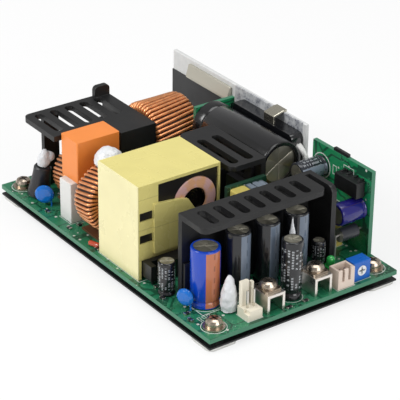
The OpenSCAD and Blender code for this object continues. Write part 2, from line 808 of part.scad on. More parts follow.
// Two-way header, open at the top, with two slots in its outer wall
module signal_header() {
    color("#e3d3c6") on_board() translate([header_x0, header_y0, 0]) difference() {
        cube([header_x1 - header_x0, header_w, header_h]);
        translate([header_wall, header_wall, 1.6])
            cube([header_x1 - header_x0 - 2 * header_wall, header_w - 2 * header_wall, header_h]);
        for (i = [-1, 1]) translate([header_x1 - header_x0 - header_wall - 1,
            header_w / 2 + i * 1.25 - 0.45, 2.6]) cube([header_wall + 2, 0.9, header_h]);
    }
}

module signal_header_pins() {
    color("silver") on_board() for (i = [-1, 1])
        translate([(header_x0 + header_x1) / 2 - 0.25, header_y0 + header_w / 2 + i * 1 - 0.25, 1.6])
            cube([0.5, 0.5, header_h - 2.6]);
}

// Bent sheet terminals: two legs and a tapped top
module output_terminals() {
    color("#c8c8c6") on_board() for (y = term_ys) translate([term_x0, y, 0]) difference() {
        cube([term_l, term_w, term_h]);
        translate([-1, term_t, -1]) cube([term_l + 2, term_w - 2 * term_t, term_h - term_t + 1]);
        translate([term_l / 2, term_w / 2, 0]) cylinder(d = 3, h = term_h + 1);
    }
}

module terminal_screws() {
    plate = 0.8;
    color("#bfb8ac") on_board() for (y = term_ys)
        translate([term_x0 + term_l / 2, y + term_w / 2, term_h]) {
            translate([-3.2, -3.2, 0]) soft_box([6.4, 6.4, plate], 0.6);
            translate([0, 0, plate]) pan_screw(term_screw_d, 2.2, 2.9, term_h - 2);
        }
}

module status_led() {
    color("#2f9a4c") on_board() translate([led_x, led_y, 0]) {
        for (x = [-1, 1]) translate([1.27 * x - 0.25, -0.25, 0]) cube([0.5, 0.5, 2.6]);
        translate([0, 0, 2.5]) cylinder(d = led_d, h = 0.9);
        translate([0, 0, 3.4]) cylinder(d = led_d - 0.8, h = 2);
        translate([0, 0, 5.4]) intersection() {
            sphere(d = led_d - 0.8);
            translate([-led_d, -led_d, 0]) cube([2 * led_d, 2 * led_d, led_d]);
        }
    }
}

module trimmer_body() {
    color("#2a6fc4") on_board() difference() {
        translate([trim_x0, trim_y - trim_side / 2, 0]) cube([trim_t, trim_side, trim_side]);
        translate([trim_x1 - rotor_t, trim_y, trim_z]) along_x()
            cylinder(d = rotor_d + 2 * rotor_clear, h = rotor_t + 1);
    }
}

// Adjuster that turns in the trimmer, flush with its face, with a cross slot
module trimmer_rotor() {
    color("#eeeeea") on_board() translate([trim_x1 - rotor_t, trim_y, trim_z]) along_x() difference() {
        cylinder(d = rotor_d, h = rotor_t);
        for (a = [0, 90]) rotate([0, 0, a])
            translate([-0.36 * rotor_d, -0.3, rotor_t - 0.6]) cube([0.72 * rotor_d, 0.6, 1]);
    }
}

module daughter_board() {
    color("seagreen") on_board() translate([db_x0, db_y0, 0]) cube([db_x1 - db_x0, card_t, db_h]);
}

module daughter_small_capacitor() {
    color("#5b6166") on_board() translate([db_x0 + 5.2, db_y0, 23.2]) rotate([90, 0, 0]) can(7.4, 11);
}

// Potted block with a row of legs on each side
module isolation_block() {
    w = 11.6;
    h = 5.6;
    t = 3.6;
    z = 21;
    x = db_x1 - 2.6 - w;
    color("#1e1c1e") on_board() {
        translate([x, db_y0 - t - 0.5, z]) cube([w, t, h]);
        for (i = [0 : 3], zz = [z - 0.7, z + h])
            translate([x + 1 + i * (w - 2.8) / 3, db_y0 - 2.4, zz]) cube([0.8, 2.4, 0.7]);
    }
}

module daughter_blue_capacitor() {
    color("#3c3f9e") on_board() translate([db_x1 - 4.9, db_y0, 16.2]) rotate([90, 0, 0]) can(7.8, 10.4);
}

// Rectifier diode standing off the daughter board on two bent leads
module axial_diode() {
    x = db_x1 - 4.2;
    z = 8.6;
    lead = 0.8;
    near = db_y0 - 9.4;
    color("#3a3a3e") on_board() {
        translate([x, near, z]) along_y() cylinder(d = 4.8, h = 7);
        translate([x, near - 1.4, z]) along_y() cylinder(d = lead, h = 1.5);
        translate([x, near - 1.4, 0]) cylinder(d = lead, h = z + lead / 2);
        translate([x, near + 6.9, z]) along_y() cylinder(d = lead, h = 2.5);
    }
}

// Small taped transformer on its pin base
module auxiliary_transformer() {
    color("#b9ab35") on_board() translate([db_x0 + 10.6, db_y0 - 11.4, 0]) {
        translate([0, 0, 1.6]) soft_box([9.4, 9.4, 9], 1.2);
        translate([-0.4, 0.4, 0]) cube([10.2, 8.6, 1.6]);
    }
}

module control_card() {
    color("seagreen") on_board() translate([card_x0, card_y0, 0]) cube([card_t, card_w, card_h]);
}

module drive_transformer() {
    color("#c5bb55") on_board() translate([card_x0 + card_t, card_y0 + 0.6, card_h - 8.2])
        soft_box([6, 6, 7.6], 1);
}

// The row of small parts along the control card's top edge
module control_card_parts() {
    color("#6b7480") on_board() translate([card_x0 + card_t, card_y0, card_h]) {
        translate([0, 7.4, -6.4]) cube([3.4, 1.8, 5.6]);
        translate([0, 9.8, -6]) soft_box([4.6, 2, 5.2], 0.6);
        translate([0, 13.2, -3.6]) along_x() cylinder(d = 5.2, h = 7.4);
    }
}

// Mains header at the input edge
module input_header() {
    pins = 3;
    pitch = 3.96;
    l = pins * 2 * pitch - pitch + 2;
    color("#e9e6dc") on_board() translate([in_edge + 1.5, is_y1 + 3.6, 0]) {
        cube([7.6, l, 3.2]);
        translate([6, 0, 3.2]) cube([1.6, l, 6.6]);
        for (i = [0 : pins - 1]) translate([3, 2.2 + i * 2 * pitch, 3.2]) cube([1.1, 1.1, 7.4]);
    }
}

// Round blob of silicone, wide at its foot
module blob(r, h) {
    rotate_extrude() polygon([
        [0, 0], [0.86 * r, 0], [r, 0.2 * h], [0.97 * r, 0.42 * h], [0.84 * r, 0.64 * h], [0.6 * r, 0.84 * h],
        [0.3 * r, 0.96 * h], [0, h]]);
}

module silicone_blobs() {
    color("#f2f2f0") on_board() {
        translate([choke_b_x0 + choke_b_l / 2, choke_b_y, choke_b_z + choke_b_d / 2 + 0.05]) blob(5.4, 7);
        on_fuse() translate([0, 0, 11.2]) {
            blob(2.7, 7);
            translate([1.4, 1.3, 3.6]) sphere(2.4);
        }
        translate([blue_cap_x + blue_cap_d / 2 + 3.3, blue_cap_y + 3.4, 0]) blob(3.2, 13.6);
        translate([out_edge - 11.5, term_ys[1] - 2.3, 0]) blob(2.1, 26);
    }
}

circuit_board();
insulating_sheet();
corner_feet();
corner_washers();
corner_screws();
transformer_core();
transformer_tape();
transformer_coil();
transformer_base();
output_heat_sink();
middle_heat_sink();
input_heat_sink();
rear_heat_plate();
rear_insulating_film();
rear_clamp_bar();
device_cover();
spring_clip();
rear_transistors();
bridge_rectifier();
switching_transistors();
output_rectifiers();
upper_bulk_capacitor();
lower_bulk_capacitor();
capacitor_board();
power_choke_core();
power_choke_winding();
line_choke_a_core();
line_choke_a_winding();
line_choke_b_core();
line_choke_b_winding();
choke_bases();
line_film_capacitor();
white_film_capacitor();
sleeved_fuse();
disc_capacitors();
blue_output_capacitor();
tall_output_capacitors();
slim_output_capacitor();
small_electrolytics();
fan_header();
fan_header_pins();
signal_header();
signal_header_pins();
output_terminals();
terminal_screws();
status_led();
trimmer_body();
trimmer_rotor();
daughter_board();
daughter_small_capacitor();
isolation_block();
daughter_blue_capacitor();
axial_diode();
auxiliary_transformer();
control_card();
drive_transformer();
control_card_parts();
input_header();
silicone_blobs();
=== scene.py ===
"""Looks of an open frame power supply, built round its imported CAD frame."""

import logging
import math
import random
from contextlib import contextmanager
from dataclasses import dataclass, field, replace
from enum import Enum
from typing import Callable, Iterable, Iterator, Sequence

import bpy
from mathutils import Euler, Matrix, Vector

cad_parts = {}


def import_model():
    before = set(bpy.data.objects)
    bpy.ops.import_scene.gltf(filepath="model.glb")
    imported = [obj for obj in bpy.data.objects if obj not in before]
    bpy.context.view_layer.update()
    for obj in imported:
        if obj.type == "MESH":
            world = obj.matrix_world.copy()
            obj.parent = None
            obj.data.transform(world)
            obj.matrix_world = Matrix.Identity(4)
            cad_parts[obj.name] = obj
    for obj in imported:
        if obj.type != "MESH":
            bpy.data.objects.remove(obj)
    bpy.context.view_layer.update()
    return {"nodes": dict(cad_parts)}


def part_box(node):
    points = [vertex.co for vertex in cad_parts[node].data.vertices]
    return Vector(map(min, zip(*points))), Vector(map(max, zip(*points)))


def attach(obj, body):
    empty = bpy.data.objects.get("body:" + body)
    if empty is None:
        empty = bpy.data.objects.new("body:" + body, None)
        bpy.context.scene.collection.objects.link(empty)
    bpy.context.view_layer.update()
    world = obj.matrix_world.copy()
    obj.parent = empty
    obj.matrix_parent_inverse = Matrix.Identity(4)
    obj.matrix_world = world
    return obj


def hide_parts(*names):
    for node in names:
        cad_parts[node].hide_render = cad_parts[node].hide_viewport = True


LOG = logging.getLogger("power_supply")
MM = 0.001
BODY = "supply"
ADJUSTER = "trimmer"
SNAP = 0.01 * MM
WELD_REACH = 0.002 * MM
GROOVE = 0.18 * MM
INK_HEIGHT = 0.03 * MM
RING_SIDES = 40
HEAD_HEIGHT = 2.2 * MM
CORNER_HEAD = 5.6 * MM
TERMINAL_HEAD = 6.0 * MM

Colour = tuple[float, float, float]
Look = tuple[bpy.types.NodeSocket, bpy.types.NodeSocket]


class Axis(Enum):
    """The way a round piece points, as the turn that lays it down from +Z."""

    UP = (0.0, 0.0, 0.0)
    ALONG_X = (0.0, math.pi / 2, 0.0)
    ALONG_Y = (-math.pi / 2, 0.0, 0.0)
    AGAINST_Y = (math.pi / 2, 0.0, 0.0)


def paint(red: int, green: int, blue: int) -> Colour:
    """Turns a display colour into the linear one that shaders use.

    Args:
        red: Red from 0 to 255.
        green: Green from 0 to 255.
        blue: Blue from 0 to 255.

    Returns:
        The linear colour.
    """

    def channel(value: int) -> float:
        """Returns one channel without its display curve."""
        share = value / 255
        return share / 12.92 if share <= 0.04045 else ((share + 0.055) / 1.055) ** 2.4

    return channel(red), channel(green), channel(blue)


def shade(colour: Colour, factor: float) -> Colour:
    """Returns a colour made lighter or darker by a factor."""
    return tuple(min(1.0, c * factor) for c in colour)


# --------------------------------------------------------------------------
# Material trees
# --------------------------------------------------------------------------


class Tree:
    """A shader tree with short calls to add, set and join its nodes."""

    def __init__(self, owner: bpy.types.NodeTree) -> None:
        """Starts an empty tree.

        Args:
            owner: The node tree of a material or a group.
        """
        self.tree = owner
        self.tree.nodes.clear()

    def add(self, kind: str, **inputs: object) -> bpy.types.Node:
        """Adds a node.

        Args:
            kind: The node's type name without its ShaderNode prefix.
            **inputs: Socket values or links, spaces written as underscores.

        Returns:
            The new node.
        """
        node = self.tree.nodes.new("ShaderNode" + kind)
        for name, value in inputs.items():
            self.feed(node, name.replace("_", " "), value)
        return node

    def use(self, made: bpy.types.NodeTree, **inputs: object) -> bpy.types.Node:
        """Adds a node that places a group.

        Args:
            made: The group.
            **inputs: Socket values or links.

        Returns:
            The new node.
        """
        node = self.add("Group")
        node.node_tree = made
        for name, value in inputs.items():
            self.feed(node, name, value)
        return node

    def feed(self, node: bpy.types.Node, socket: object, value: object) -> None:
        """Sets or links one input of a node.

        Args:
            node: The node to feed.
            socket: The input's name or number.
            value: A plain value, or the output socket that feeds it.
        """
        target = node.inputs[socket]
        if isinstance(value, bpy.types.NodeSocket):
            self.tree.links.new(value, target)
        elif isinstance(value, tuple) and len(value) == 3 and target.type == "RGBA":
            target.default_value = (*value, 1.0)
        else:
            target.default_value = value

    def calc(self, operation: str, first: object, second: object = 0.0,
             third: object = 0.0) -> bpy.types.NodeSocket:
        """Adds a Math node.

        Args:
            operation: The operation's name, such as MULTIPLY.
            first: First value or link.
            second: Second value or link.
            third: Third value or link.

        Returns:
            The result.
        """
        node = self.tree.nodes.new("ShaderNodeMath")
        node.operation = operation
        for number, value in enumerate((first, second, third)):
            self.feed(node, number, value)
        return node.outputs[0]

    def mix(self, factor: object, low: object, high: object,
            blend: str = "MIX") -> bpy.types.NodeSocket:
        """Mixes two colours.

        Args:
            factor: Share of the second colour.
            low: First colour or link.
            high: Second colour or link.
            blend: The blend type.

        Returns:
            The mixed colour.
        """
        node = self.tree.nodes.new("ShaderNodeMix")
        node.data_type = "RGBA"
        node.blend_type = blend
        self.feed(node, 0, factor)
        self.feed(node, 6, low)
        self.feed(node, 7, high)
        return node.outputs[2]

    def span(self, value: object, low: float, high: float, start: object = 0.0,
             end: object = 1.0) -> bpy.types.NodeSocket:
        """Maps a value from one range to another.

        Args:
            value: The value or link.
            low: The input that gives start.
            high: The input that gives end.
            start: The result at low.
            end: The result at high.

        Returns:
            The mapped value.
        """
        node = self.tree.nodes.new("ShaderNodeMapRange")
        for number, item in enumerate((value, low, high, start, end)):
            self.feed(node, number, item)
        return node.outputs[0]

    def noise(self, vector: object, scale: object, detail: float = 3.0,
              rough: float = 0.55) -> bpy.types.NodeSocket:
        """Adds a noise texture and returns its value."""
        node = self.add("TexNoise", Vector=vector, Scale=scale, Detail=detail, Roughness=rough)
        return node.outputs[0]

    def place(self, vector: object, scale: Sequence[float] = (1, 1, 1),
              location: Sequence[float] = (0, 0, 0)) -> bpy.types.NodeSocket:
        """Stretches or moves a vector with a Mapping node."""
        node = self.add("Mapping", Vector=vector, Scale=tuple(scale), Location=tuple(location))
        return node.outputs[0]

    def object_point(self) -> bpy.types.NodeSocket:
        """Returns the point in the piece's own frame."""
        return self.add("TexCoord").outputs["Object"]

    def split(self, vector: object) -> list[bpy.types.NodeSocket]:
        """Returns the three numbers of a vector."""
        return list(self.add("SeparateXYZ", Vector=vector).outputs)

    def band(self, value: object, low: float, high: float) -> bpy.types.NodeSocket:
        """Marks where a value lies between two limits.

        Args:
            value: The value or link.
            low: Lower limit.
            high: Upper limit.

        Returns:
            1 between the limits, else 0.
        """
        above = self.calc("GREATER_THAN", value, low)
        below = self.calc("LESS_THAN", value, high)
        return self.calc("MULTIPLY", above, below)


def group(name: str, inputs: dict[str, float], outputs: Sequence[str],
          fill: Callable[[Tree, bpy.types.Node, bpy.types.Node], None]) -> bpy.types.NodeTree:
    """Builds a shader node group once.

    Args:
        name: The group's name.
        inputs: Names and default values of its number inputs; Vector comes first on its own.
        outputs: Names of its number outputs.
        fill: Adds the nodes between the group's input and output.

    Returns:
        The node group.
    """
    found = bpy.data.node_groups.get(name)
    if found:
        return found
    made = bpy.data.node_groups.new(name, "ShaderNodeTree")
    tree = Tree(made)
    made.interface.new_socket("Vector", in_out="INPUT", socket_type="NodeSocketVector")
    for label, value in inputs.items():
        socket = made.interface.new_socket(label, in_out="INPUT", socket_type="NodeSocketFloat")
        socket.default_value = value
    for label in outputs:
        made.interface.new_socket(label, in_out="OUTPUT", socket_type="NodeSocketFloat")
    fill(tree, made.nodes.new("NodeGroupInput"), made.nodes.new("NodeGroupOutput"))
    return made


def fill_grain(tree: Tree, source: bpy.types.Node, sink: bpy.types.Node) -> None:
    """Fills the group that gives fine height and soft tone over a surface.

    Args:
        tree: The group's tree.
        source: The group's input node.
        sink: The group's output node.
    """
    point, scale = source.outputs["Vector"], source.outputs["Scale"]
    broad = tree.noise(point, tree.calc("MULTIPLY", scale, 0.08), detail=2.0)
    tree.feed(sink, "Height", tree.noise(point, scale))
    tree.feed(sink, "Tone", tree.span(broad, 0.3, 0.7))


def fill_handling(tree: Tree, source: bpy.types.Node, sink: bpy.types.Node) -> None:
    """Fills the group that varies roughness as dust and handling do.

    Args:
        tree: The group's tree.
        source: The group's input node.
        sink: The group's output node.
    """
    cloud = tree.noise(source.outputs["Vector"], source.outputs["Scale"], detail=4.0)
    rough = tree.span(cloud, 0.35, 0.7, source.outputs["Low"], source.outputs["High"])
    tree.feed(sink, "Roughness", rough)


def fill_specks(tree: Tree, source: bpy.types.Node, sink: bpy.types.Node) -> None:
    """Fills the group that gives a mask of small round specks.

    Args:
        tree: The group's tree.
        source: The group's input node.
        sink: The group's output node.
    """
    cells = tree.add("TexVoronoi", Vector=source.outputs["Vector"],
                     Scale=source.outputs["Scale"])
    near = tree.calc("LESS_THAN", cells.outputs["Distance"], source.outputs["Size"])
    tree.feed(sink, "Mask", near)


def grain_group() -> bpy.types.NodeTree:
    """Returns the shared grain group."""
    return group("surface_grain", {"Scale": 900.0}, ("Height", "Tone"), fill_grain)


def handling_group() -> bpy.types.NodeTree:
    """Returns the shared handling group."""
    return group("handling", {"Scale": 90.0, "Low": 0.3, "High": 0.5}, ("Roughness",),
                 fill_handling)


def specks_group() -> bpy.types.NodeTree:
    """Returns the shared specks group."""
    return group("specks", {"Scale": 400.0, "Size": 0.2}, ("Mask",), fill_specks)


# --------------------------------------------------------------------------
# Finishes
# --------------------------------------------------------------------------


@dataclass(frozen=True)
class Finish:
    """A moulded, painted or dipped surface.

    Attributes:
        name: The material's name.
        colour: Its linear base colour.
        rough: Lowest and highest roughness.
        grain: Grains per metre of the fine texture.
        depth: Depth of the fine texture in metres.
        tone: How much the colour drifts over the surface.
        metallic: 1 for bare metal.
        coat: Weight of a clear coat.
        sheen: Specular level.
    """

    name: str
    colour: Colour
    rough: tuple[float, float] = (0.35, 0.5)
    grain: float = 1500.0
    depth: float = 0.00001
    tone: float = 0.1
    metallic: float = 0.0
    coat: float = 0.0
    sheen: float = 0.5

    def material(self) -> bpy.types.Material:
        """Builds the material on the first call.

        Returns:
            The material.
        """
        label = "skin_" + self.name
        found = bpy.data.materials.get(label)
        if found:
            return found
        made = bpy.data.materials.new(label)
        made.use_nodes = True
        made.diffuse_color = (*self.colour, 1.0)
        tree = Tree(made.node_tree)
        shader = tree.add("BsdfPrincipled")
        shader.inputs["Metallic"].default_value = self.metallic
        shader.inputs["Coat Weight"].default_value = self.coat
        shader.inputs["Coat Roughness"].default_value = 0.08
        shader.inputs["Specular IOR Level"].default_value = self.sheen
        self.fill(tree, shader)
        output = tree.tree.nodes.new("ShaderNodeOutputMaterial")
        tree.tree.links.new(shader.outputs[0], output.inputs["Surface"])
        return made

    def fill(self, tree: Tree, shader: bpy.types.Node) -> None:
        """Feeds colour, roughness and relief.

        Args:
            tree: The material's tree.
            shader: The surface shader.
        """
        point = tree.object_point()
        colour, height = self.look(tree, point, self.grain_node(tree, point))
        tree.feed(shader, "Base Color", colour)
        tree.feed(shader, "Roughness", self.roughness(tree, point))
        self.relief(tree, shader, height)

    def look(self, tree: Tree, point: bpy.types.NodeSocket, grain: bpy.types.Node) -> Look:
        """Returns the colour and the height over the surface."""
        return self.toned(tree, grain, self.colour), grain.outputs["Height"]

    def grain_node(self, tree: Tree, point: bpy.types.NodeSocket) -> bpy.types.Node:
        """Adds the grain group at this finish's scale and returns its node."""
        return tree.use(grain_group(), Vector=point, Scale=self.grain)

    def toned(self, tree: Tree, grain: bpy.types.Node, colour: object) -> bpy.types.NodeSocket:
        """Lets a colour drift a little over the surface.

        Args:
            tree: The material's tree.
            grain: The grain group's node.
            colour: The colour or link.

        Returns:
            The drifting colour.
        """
        factor = tree.span(grain.outputs["Tone"], 0.0, 1.0, 0.0, self.tone * 2)
        dark = tree.mix(1.0, colour, shade((1.0, 1.0, 1.0), 0.55), "MULTIPLY")
        return tree.mix(factor, colour, dark)

    def roughness(self, tree: Tree, point: bpy.types.NodeSocket) -> bpy.types.NodeSocket:
        """Returns roughness that varies as handling leaves it."""
        node = tree.use(handling_group(), Vector=point, Low=self.rough[0], High=self.rough[1])
        return node.outputs["Roughness"]

    def relief(self, tree: Tree, shader: bpy.types.Node, height: bpy.types.NodeSocket) -> None:
        """Feeds a bump of this finish's depth to the shader."""
        bump = tree.add("Bump", Height=height, Distance=self.depth, Strength=0.6)
        tree.feed(shader, "Normal", bump.outputs[0])


@dataclass(frozen=True)
class Brushed(Finish):
    """Metal with fine lines along one direction.

    Attributes:
        stretch: Scale along X, Y and Z that draws the grain out into lines.
    """

    stretch: tuple[float, float, float] = (0.06, 1.0, 1.0)
    metallic: float = 1.0

    def fill(self, tree: Tree, shader: bpy.types.Node) -> None:
        """Feeds colour, roughness and drawn-out relief.

        Args:
            tree: The material's tree.
            shader: The surface shader.
        """
        point = tree.object_point()
        grain = self.grain_node(tree, tree.place(point, self.stretch))
        tree.feed(shader, "Base Color", self.toned(tree, grain, self.colour))
        lines = tree.span(grain.outputs["Height"], 0.3, 0.7, self.rough[0], self.rough[1])
        tree.feed(shader, "Roughness", lines)
        self.relief(tree, shader, grain.outputs["Height"])


@dataclass(frozen=True)
class RolledPlate(Finish):
    """Bare rolled sheet with painted reflection along part of its length: grey blotches and darker
    specks.

    Attributes:
        reflection_tint: Colour of the blotches of painted reflection.
        reflection_band: Where the painted reflection starts and ends along X, in metres.
        front: The Y below which a point is on the side with the painted reflection, in metres.
    """

    reflection_tint: Colour = paint(120, 124, 134)
    reflection_band: tuple[float, float] = (-0.025, 0.0135)
    front: float = 0.0372
    metallic: float = 0.0

    def look(self, tree: Tree, point: bpy.types.NodeSocket, grain: bpy.types.Node) -> Look:
        """Paints the reflection on the sheet as blotches and specks.

        Args:
            tree: The material's tree.
            point: The point on the piece.
            grain: The grain group's node.

        Returns:
            The colour and the height over the surface.
        """
        # Painted reflection: grey blotches with darker specks in a band along X on the side below
        # front, and faint blotches elsewhere.
        specks = tree.use(specks_group(), Vector=point, Scale=900.0, Size=0.3)
        cloud = tree.span(tree.noise(point, 420.0, 6.0), 0.4, 0.62)
        along, across, _ = tree.split(point)
        reflection_band = tree.calc("MULTIPLY", tree.band(along, self.reflection_band[0], self.reflection_band[1]),
                         tree.calc("LESS_THAN", across, self.front))
        marks = tree.calc("MULTIPLY", specks.outputs["Mask"], tree.calc("MULTIPLY", cloud, reflection_band))
        share = tree.calc("MULTIPLY", cloud, tree.span(reflection_band, 0.0, 1.0, 0.08, 0.5))
        share = tree.calc("ADD", share, tree.calc("MULTIPLY", reflection_band, 0.32))
        reflected = tree.mix(share, self.colour, self.reflection_tint)
        return tree.mix(marks, reflected, shade(self.reflection_tint, 0.6)), grain.outputs["Height"]


@dataclass(frozen=True)
class SolderMask(Finish):
    """Circuit board: green mask over copper areas and tracks, pads, and a plain edge.

    Attributes:
        ground: Colour between the copper areas.
        track: Colour of mask over thin tracks.
        solder: Colour of bare tinned pads.
        edge: Colour of the sawn edge.
        flat_axis: Number of the axis across the board's thickness.
        faces: Where the board's two faces lie along that axis, in metres.
    """

    ground: Colour = paint(20, 78, 54)
    track: Colour = paint(84, 156, 118)
    solder: Colour = paint(202, 204, 196)
    edge: Colour = paint(58, 124, 94)
    flat_axis: int = 2
    faces: tuple[float, float] = (0.0, 0.0)

    def for_node(self, node: str, axis: int) -> "SolderMask":
        """Fits this finish to a board.

        Args:
            node: The board's CAD node.
            axis: Number of the axis across its thickness.

        Returns:
            The finish, with its faces set to those of the node.
        """
        low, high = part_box(node)
        return replace(self, name=self.name + "_" + node, flat_axis=axis,
                       faces=(low[axis], high[axis]))

    def look(self, tree: Tree, point: bpy.types.NodeSocket, grain: bpy.types.Node) -> Look:
        """Lays tracks, pads and mask over the board.

        Args:
            tree: The material's tree.
            point: The point on the piece.
            grain: The grain group's node.

        Returns:
            The colour and the height over the surface.
        """
        squash = [1.0, 1.0, 1.0]
        squash[self.flat_axis] = 0.001
        flat = tree.place(point, squash)
        across = tree.split(point)[self.flat_axis]
        middle = sum(self.faces) / 2
        depth = tree.calc("ABSOLUTE", tree.calc("SUBTRACT", across, middle))
        on_face = tree.calc("GREATER_THAN", depth, (self.faces[1] - self.faces[0]) / 2 - 0.00003)
        near = tree.add("TexVoronoi", Vector=flat, Scale=120.0)
        near.distance = "CHEBYCHEV"
        next_near = tree.add("TexVoronoi", Vector=flat, Scale=120.0)
        next_near.distance = "CHEBYCHEV"
        next_near.feature = "F2"
        gap = tree.calc("SUBTRACT", next_near.outputs["Distance"], near.outputs["Distance"])
        copper = tree.calc("GREATER_THAN", gap, 0.07)
        tracks = tree.add("TexVoronoi", Vector=flat, Scale=420.0)
        tracks.distance = "MANHATTAN"
        lines = tree.band(tracks.outputs["Distance"], 0.5, 0.6)
        patch = tree.calc("GREATER_THAN", tree.noise(flat, 60.0, 1.0), 0.5)
        lines = tree.calc("MULTIPLY", lines, patch)
        pads = tree.use(specks_group(), Vector=flat, Scale=300.0, Size=0.15)
        mask = tree.mix(copper, self.ground, self.colour)
        mask = tree.mix(tree.calc("MULTIPLY", lines, 0.7), mask, self.track)
        dotted = tree.mix(pads.outputs["Mask"], mask, self.solder)
        sided = tree.mix(on_face, self.edge, dotted)
        height = tree.calc("ADD", copper, tree.calc("MULTIPLY", lines, 0.6))
        return self.toned(tree, grain, sided), tree.calc("MULTIPLY", height, on_face)


@dataclass(frozen=True)
class Leaded(Finish):
    """A moulded body on tinned leads.

    Attributes:
        lead: Colour of the leads.
        axis: Number of the axis that the body's ends lie along.
        body: Where the body starts and ends along that axis, in metres.
    """

    lead: Colour = paint(212, 210, 204)
    axis: int = 2
    body: tuple[float, float] = (0.0, 1.0)

    def fill(self, tree: Tree, shader: bpy.types.Node) -> None:
        """Feeds the body's colour and the leads' metal.

        Args:
            tree: The material's tree.
            shader: The surface shader.
        """
        super().fill(tree, shader)
        tree.feed(shader, "Metallic", tree.calc("MULTIPLY", self.bare(tree), 0.85))

    def bare(self, tree: Tree) -> bpy.types.NodeSocket:
        """Returns 1 on the leads, else 0."""
        along = tree.split(tree.object_point())[self.axis]
        return tree.calc("SUBTRACT", 1.0, tree.band(along, *self.body))

    def look(self, tree: Tree, point: bpy.types.NodeSocket, grain: bpy.types.Node) -> Look:
        """Returns the body's colour with the leads' over it, and the height."""
        moulded = self.toned(tree, grain, self.colour)
        return tree.mix(self.bare(tree), moulded, self.lead), grain.outputs["Height"]


@dataclass(frozen=True)
class Tape(Finish):
    """Polyester tape with wrapped edges, darkened with painted shade, and painted light that makes
    one side paler.

    Attributes:
        face: Colour of the lit side, painted paler as painted light.
        lit_side_y: The Y below which a point is on that lit side, in metres.
        pitch: Distance between the tape's edges, in metres.
    """

    face: Colour = paint(244, 238, 190)
    lit_side_y: float = 0.0
    pitch: float = 0.011

    def look(self, tree: Tree, point: bpy.types.NodeSocket, grain: bpy.types.Node) -> Look:
        """Gives the tape its edges with painted shade, its paler painted-light side and soft waves.

        Args:
            tree: The material's tree.
            point: The point on the piece.
            grain: The grain group's node.

        Returns:
            The colour and the height over the surface.
        """
        x, y, z = tree.split(point)
        # Painted light: the side below lit_side_y takes the paler face colour.
        side = tree.calc("LESS_THAN", y, self.lit_side_y)
        base = tree.mix(side, self.colour, self.face)
        # The tape's edges are a dip in height and a thin line of painted shade, on the sides that
        # are not painted lit.
        step = tree.calc("FRACT", tree.calc("DIVIDE", tree.calc("ADD", z, 1.0), self.pitch))
        edge = tree.calc("LESS_THAN", step, 0.02)
        edge = tree.calc("MULTIPLY", edge, tree.calc("SUBTRACT", 1.0, side))
        shaded_edges = tree.mix(tree.calc("MULTIPLY", edge, 0.5), base, shade(self.colour, 0.55))
        waves = tree.noise(point, 160.0, 1.0)
        height = tree.calc("ADD", waves, tree.calc("MULTIPLY", edge, -0.4))
        return self.toned(tree, grain, shaded_edges), height


@dataclass(frozen=True)
class Sleeve(Finish):
    """Shrunk sleeve of a capacitor, with a stripe and rows of plain marks.

    Attributes:
        stripe: Colour of the stripe along the can.
        stripe_at: Middle of the stripe round the can, from 0 to 1.
        stripe_w: Width of the stripe, from 0 to 1.
        ink: Colour of the marks.
        marks: Weight of the marks on the sleeve, from 0 to 1.
    """

    stripe: Colour = paint(120, 130, 142)
    stripe_at: float = 0.5
    stripe_w: float = 0.2
    ink: Colour = paint(190, 194, 198)
    marks: float = 0.0
    coat: float = 0.3

    def look(self, tree: Tree, point: bpy.types.NodeSocket, grain: bpy.types.Node) -> Look:
        """Prints the stripe and the marks on the sleeve.

        Args:
            tree: The material's tree.
            point: The point on the piece.
            grain: The grain group's node.

        Returns:
            The colour and the height over the surface.
        """
        uv = tree.add("TexCoord").outputs["UV"]
        round_at, along, _ = tree.split(uv)
        half = self.stripe_w / 2
        stripe = tree.band(round_at, self.stripe_at - half, self.stripe_at + half)
        inside = tree.band(along, 0.03, 0.97)
        stripe = tree.calc("MULTIPLY", stripe, inside)
        base = tree.mix(stripe, self.colour, self.stripe)
        dash_row = tree.band(tree.calc("FRACT", tree.calc("MULTIPLY", along, 5.0)), 0.3, 0.75)
        dash = tree.band(round_at, self.stripe_at - half * 0.1, self.stripe_at + half * 0.1)
        dashes = tree.calc("MULTIPLY", tree.calc("MULTIPLY", dash_row, dash), inside)
        base = tree.mix(tree.calc("MULTIPLY", dashes, 0.6), base, shade(self.stripe, 0.35))
        row_at = tree.calc("MULTIPLY", round_at, 16.0)
        row = tree.band(tree.calc("FRACT", row_at), 0.2, 0.72)
        number = tree.calc("FLOOR", row_at)
        shifted = tree.calc("ADD", tree.calc("MULTIPLY", along, 22.0),
                            tree.calc("MULTIPLY", number, 0.37))
        tick = tree.band(tree.calc("FRACT", shifted), 0.18, 0.82)
        cell = tree.add("TexWhiteNoise")
        cell.noise_dimensions = "2D"
        spot = tree.add("CombineXYZ", X=number, Y=tree.calc("FLOOR", shifted))
        tree.feed(cell, "Vector", spot.outputs[0])
        kept = tree.calc("GREATER_THAN", cell.outputs["Value"], 0.34)
        strokes = tree.noise(tree.place(uv, (130.0, 150.0, 1.0)), 1.0, 1.0)
        slit = tree.calc("GREATER_THAN", strokes, 0.44)
        clear = tree.calc("MULTIPLY", tree.calc("SUBTRACT", 1.0, stripe),
                          tree.band(along, 0.2, 0.88))
        print_mask = tree.calc("MULTIPLY", tree.calc("MULTIPLY", row, tick),
                               tree.calc("MULTIPLY", kept, slit))
        print_mask = tree.calc("MULTIPLY", print_mask, clear)
        base = tree.mix(tree.calc("MULTIPLY", print_mask, self.marks), base, self.ink)
        return base, grain.outputs["Height"]


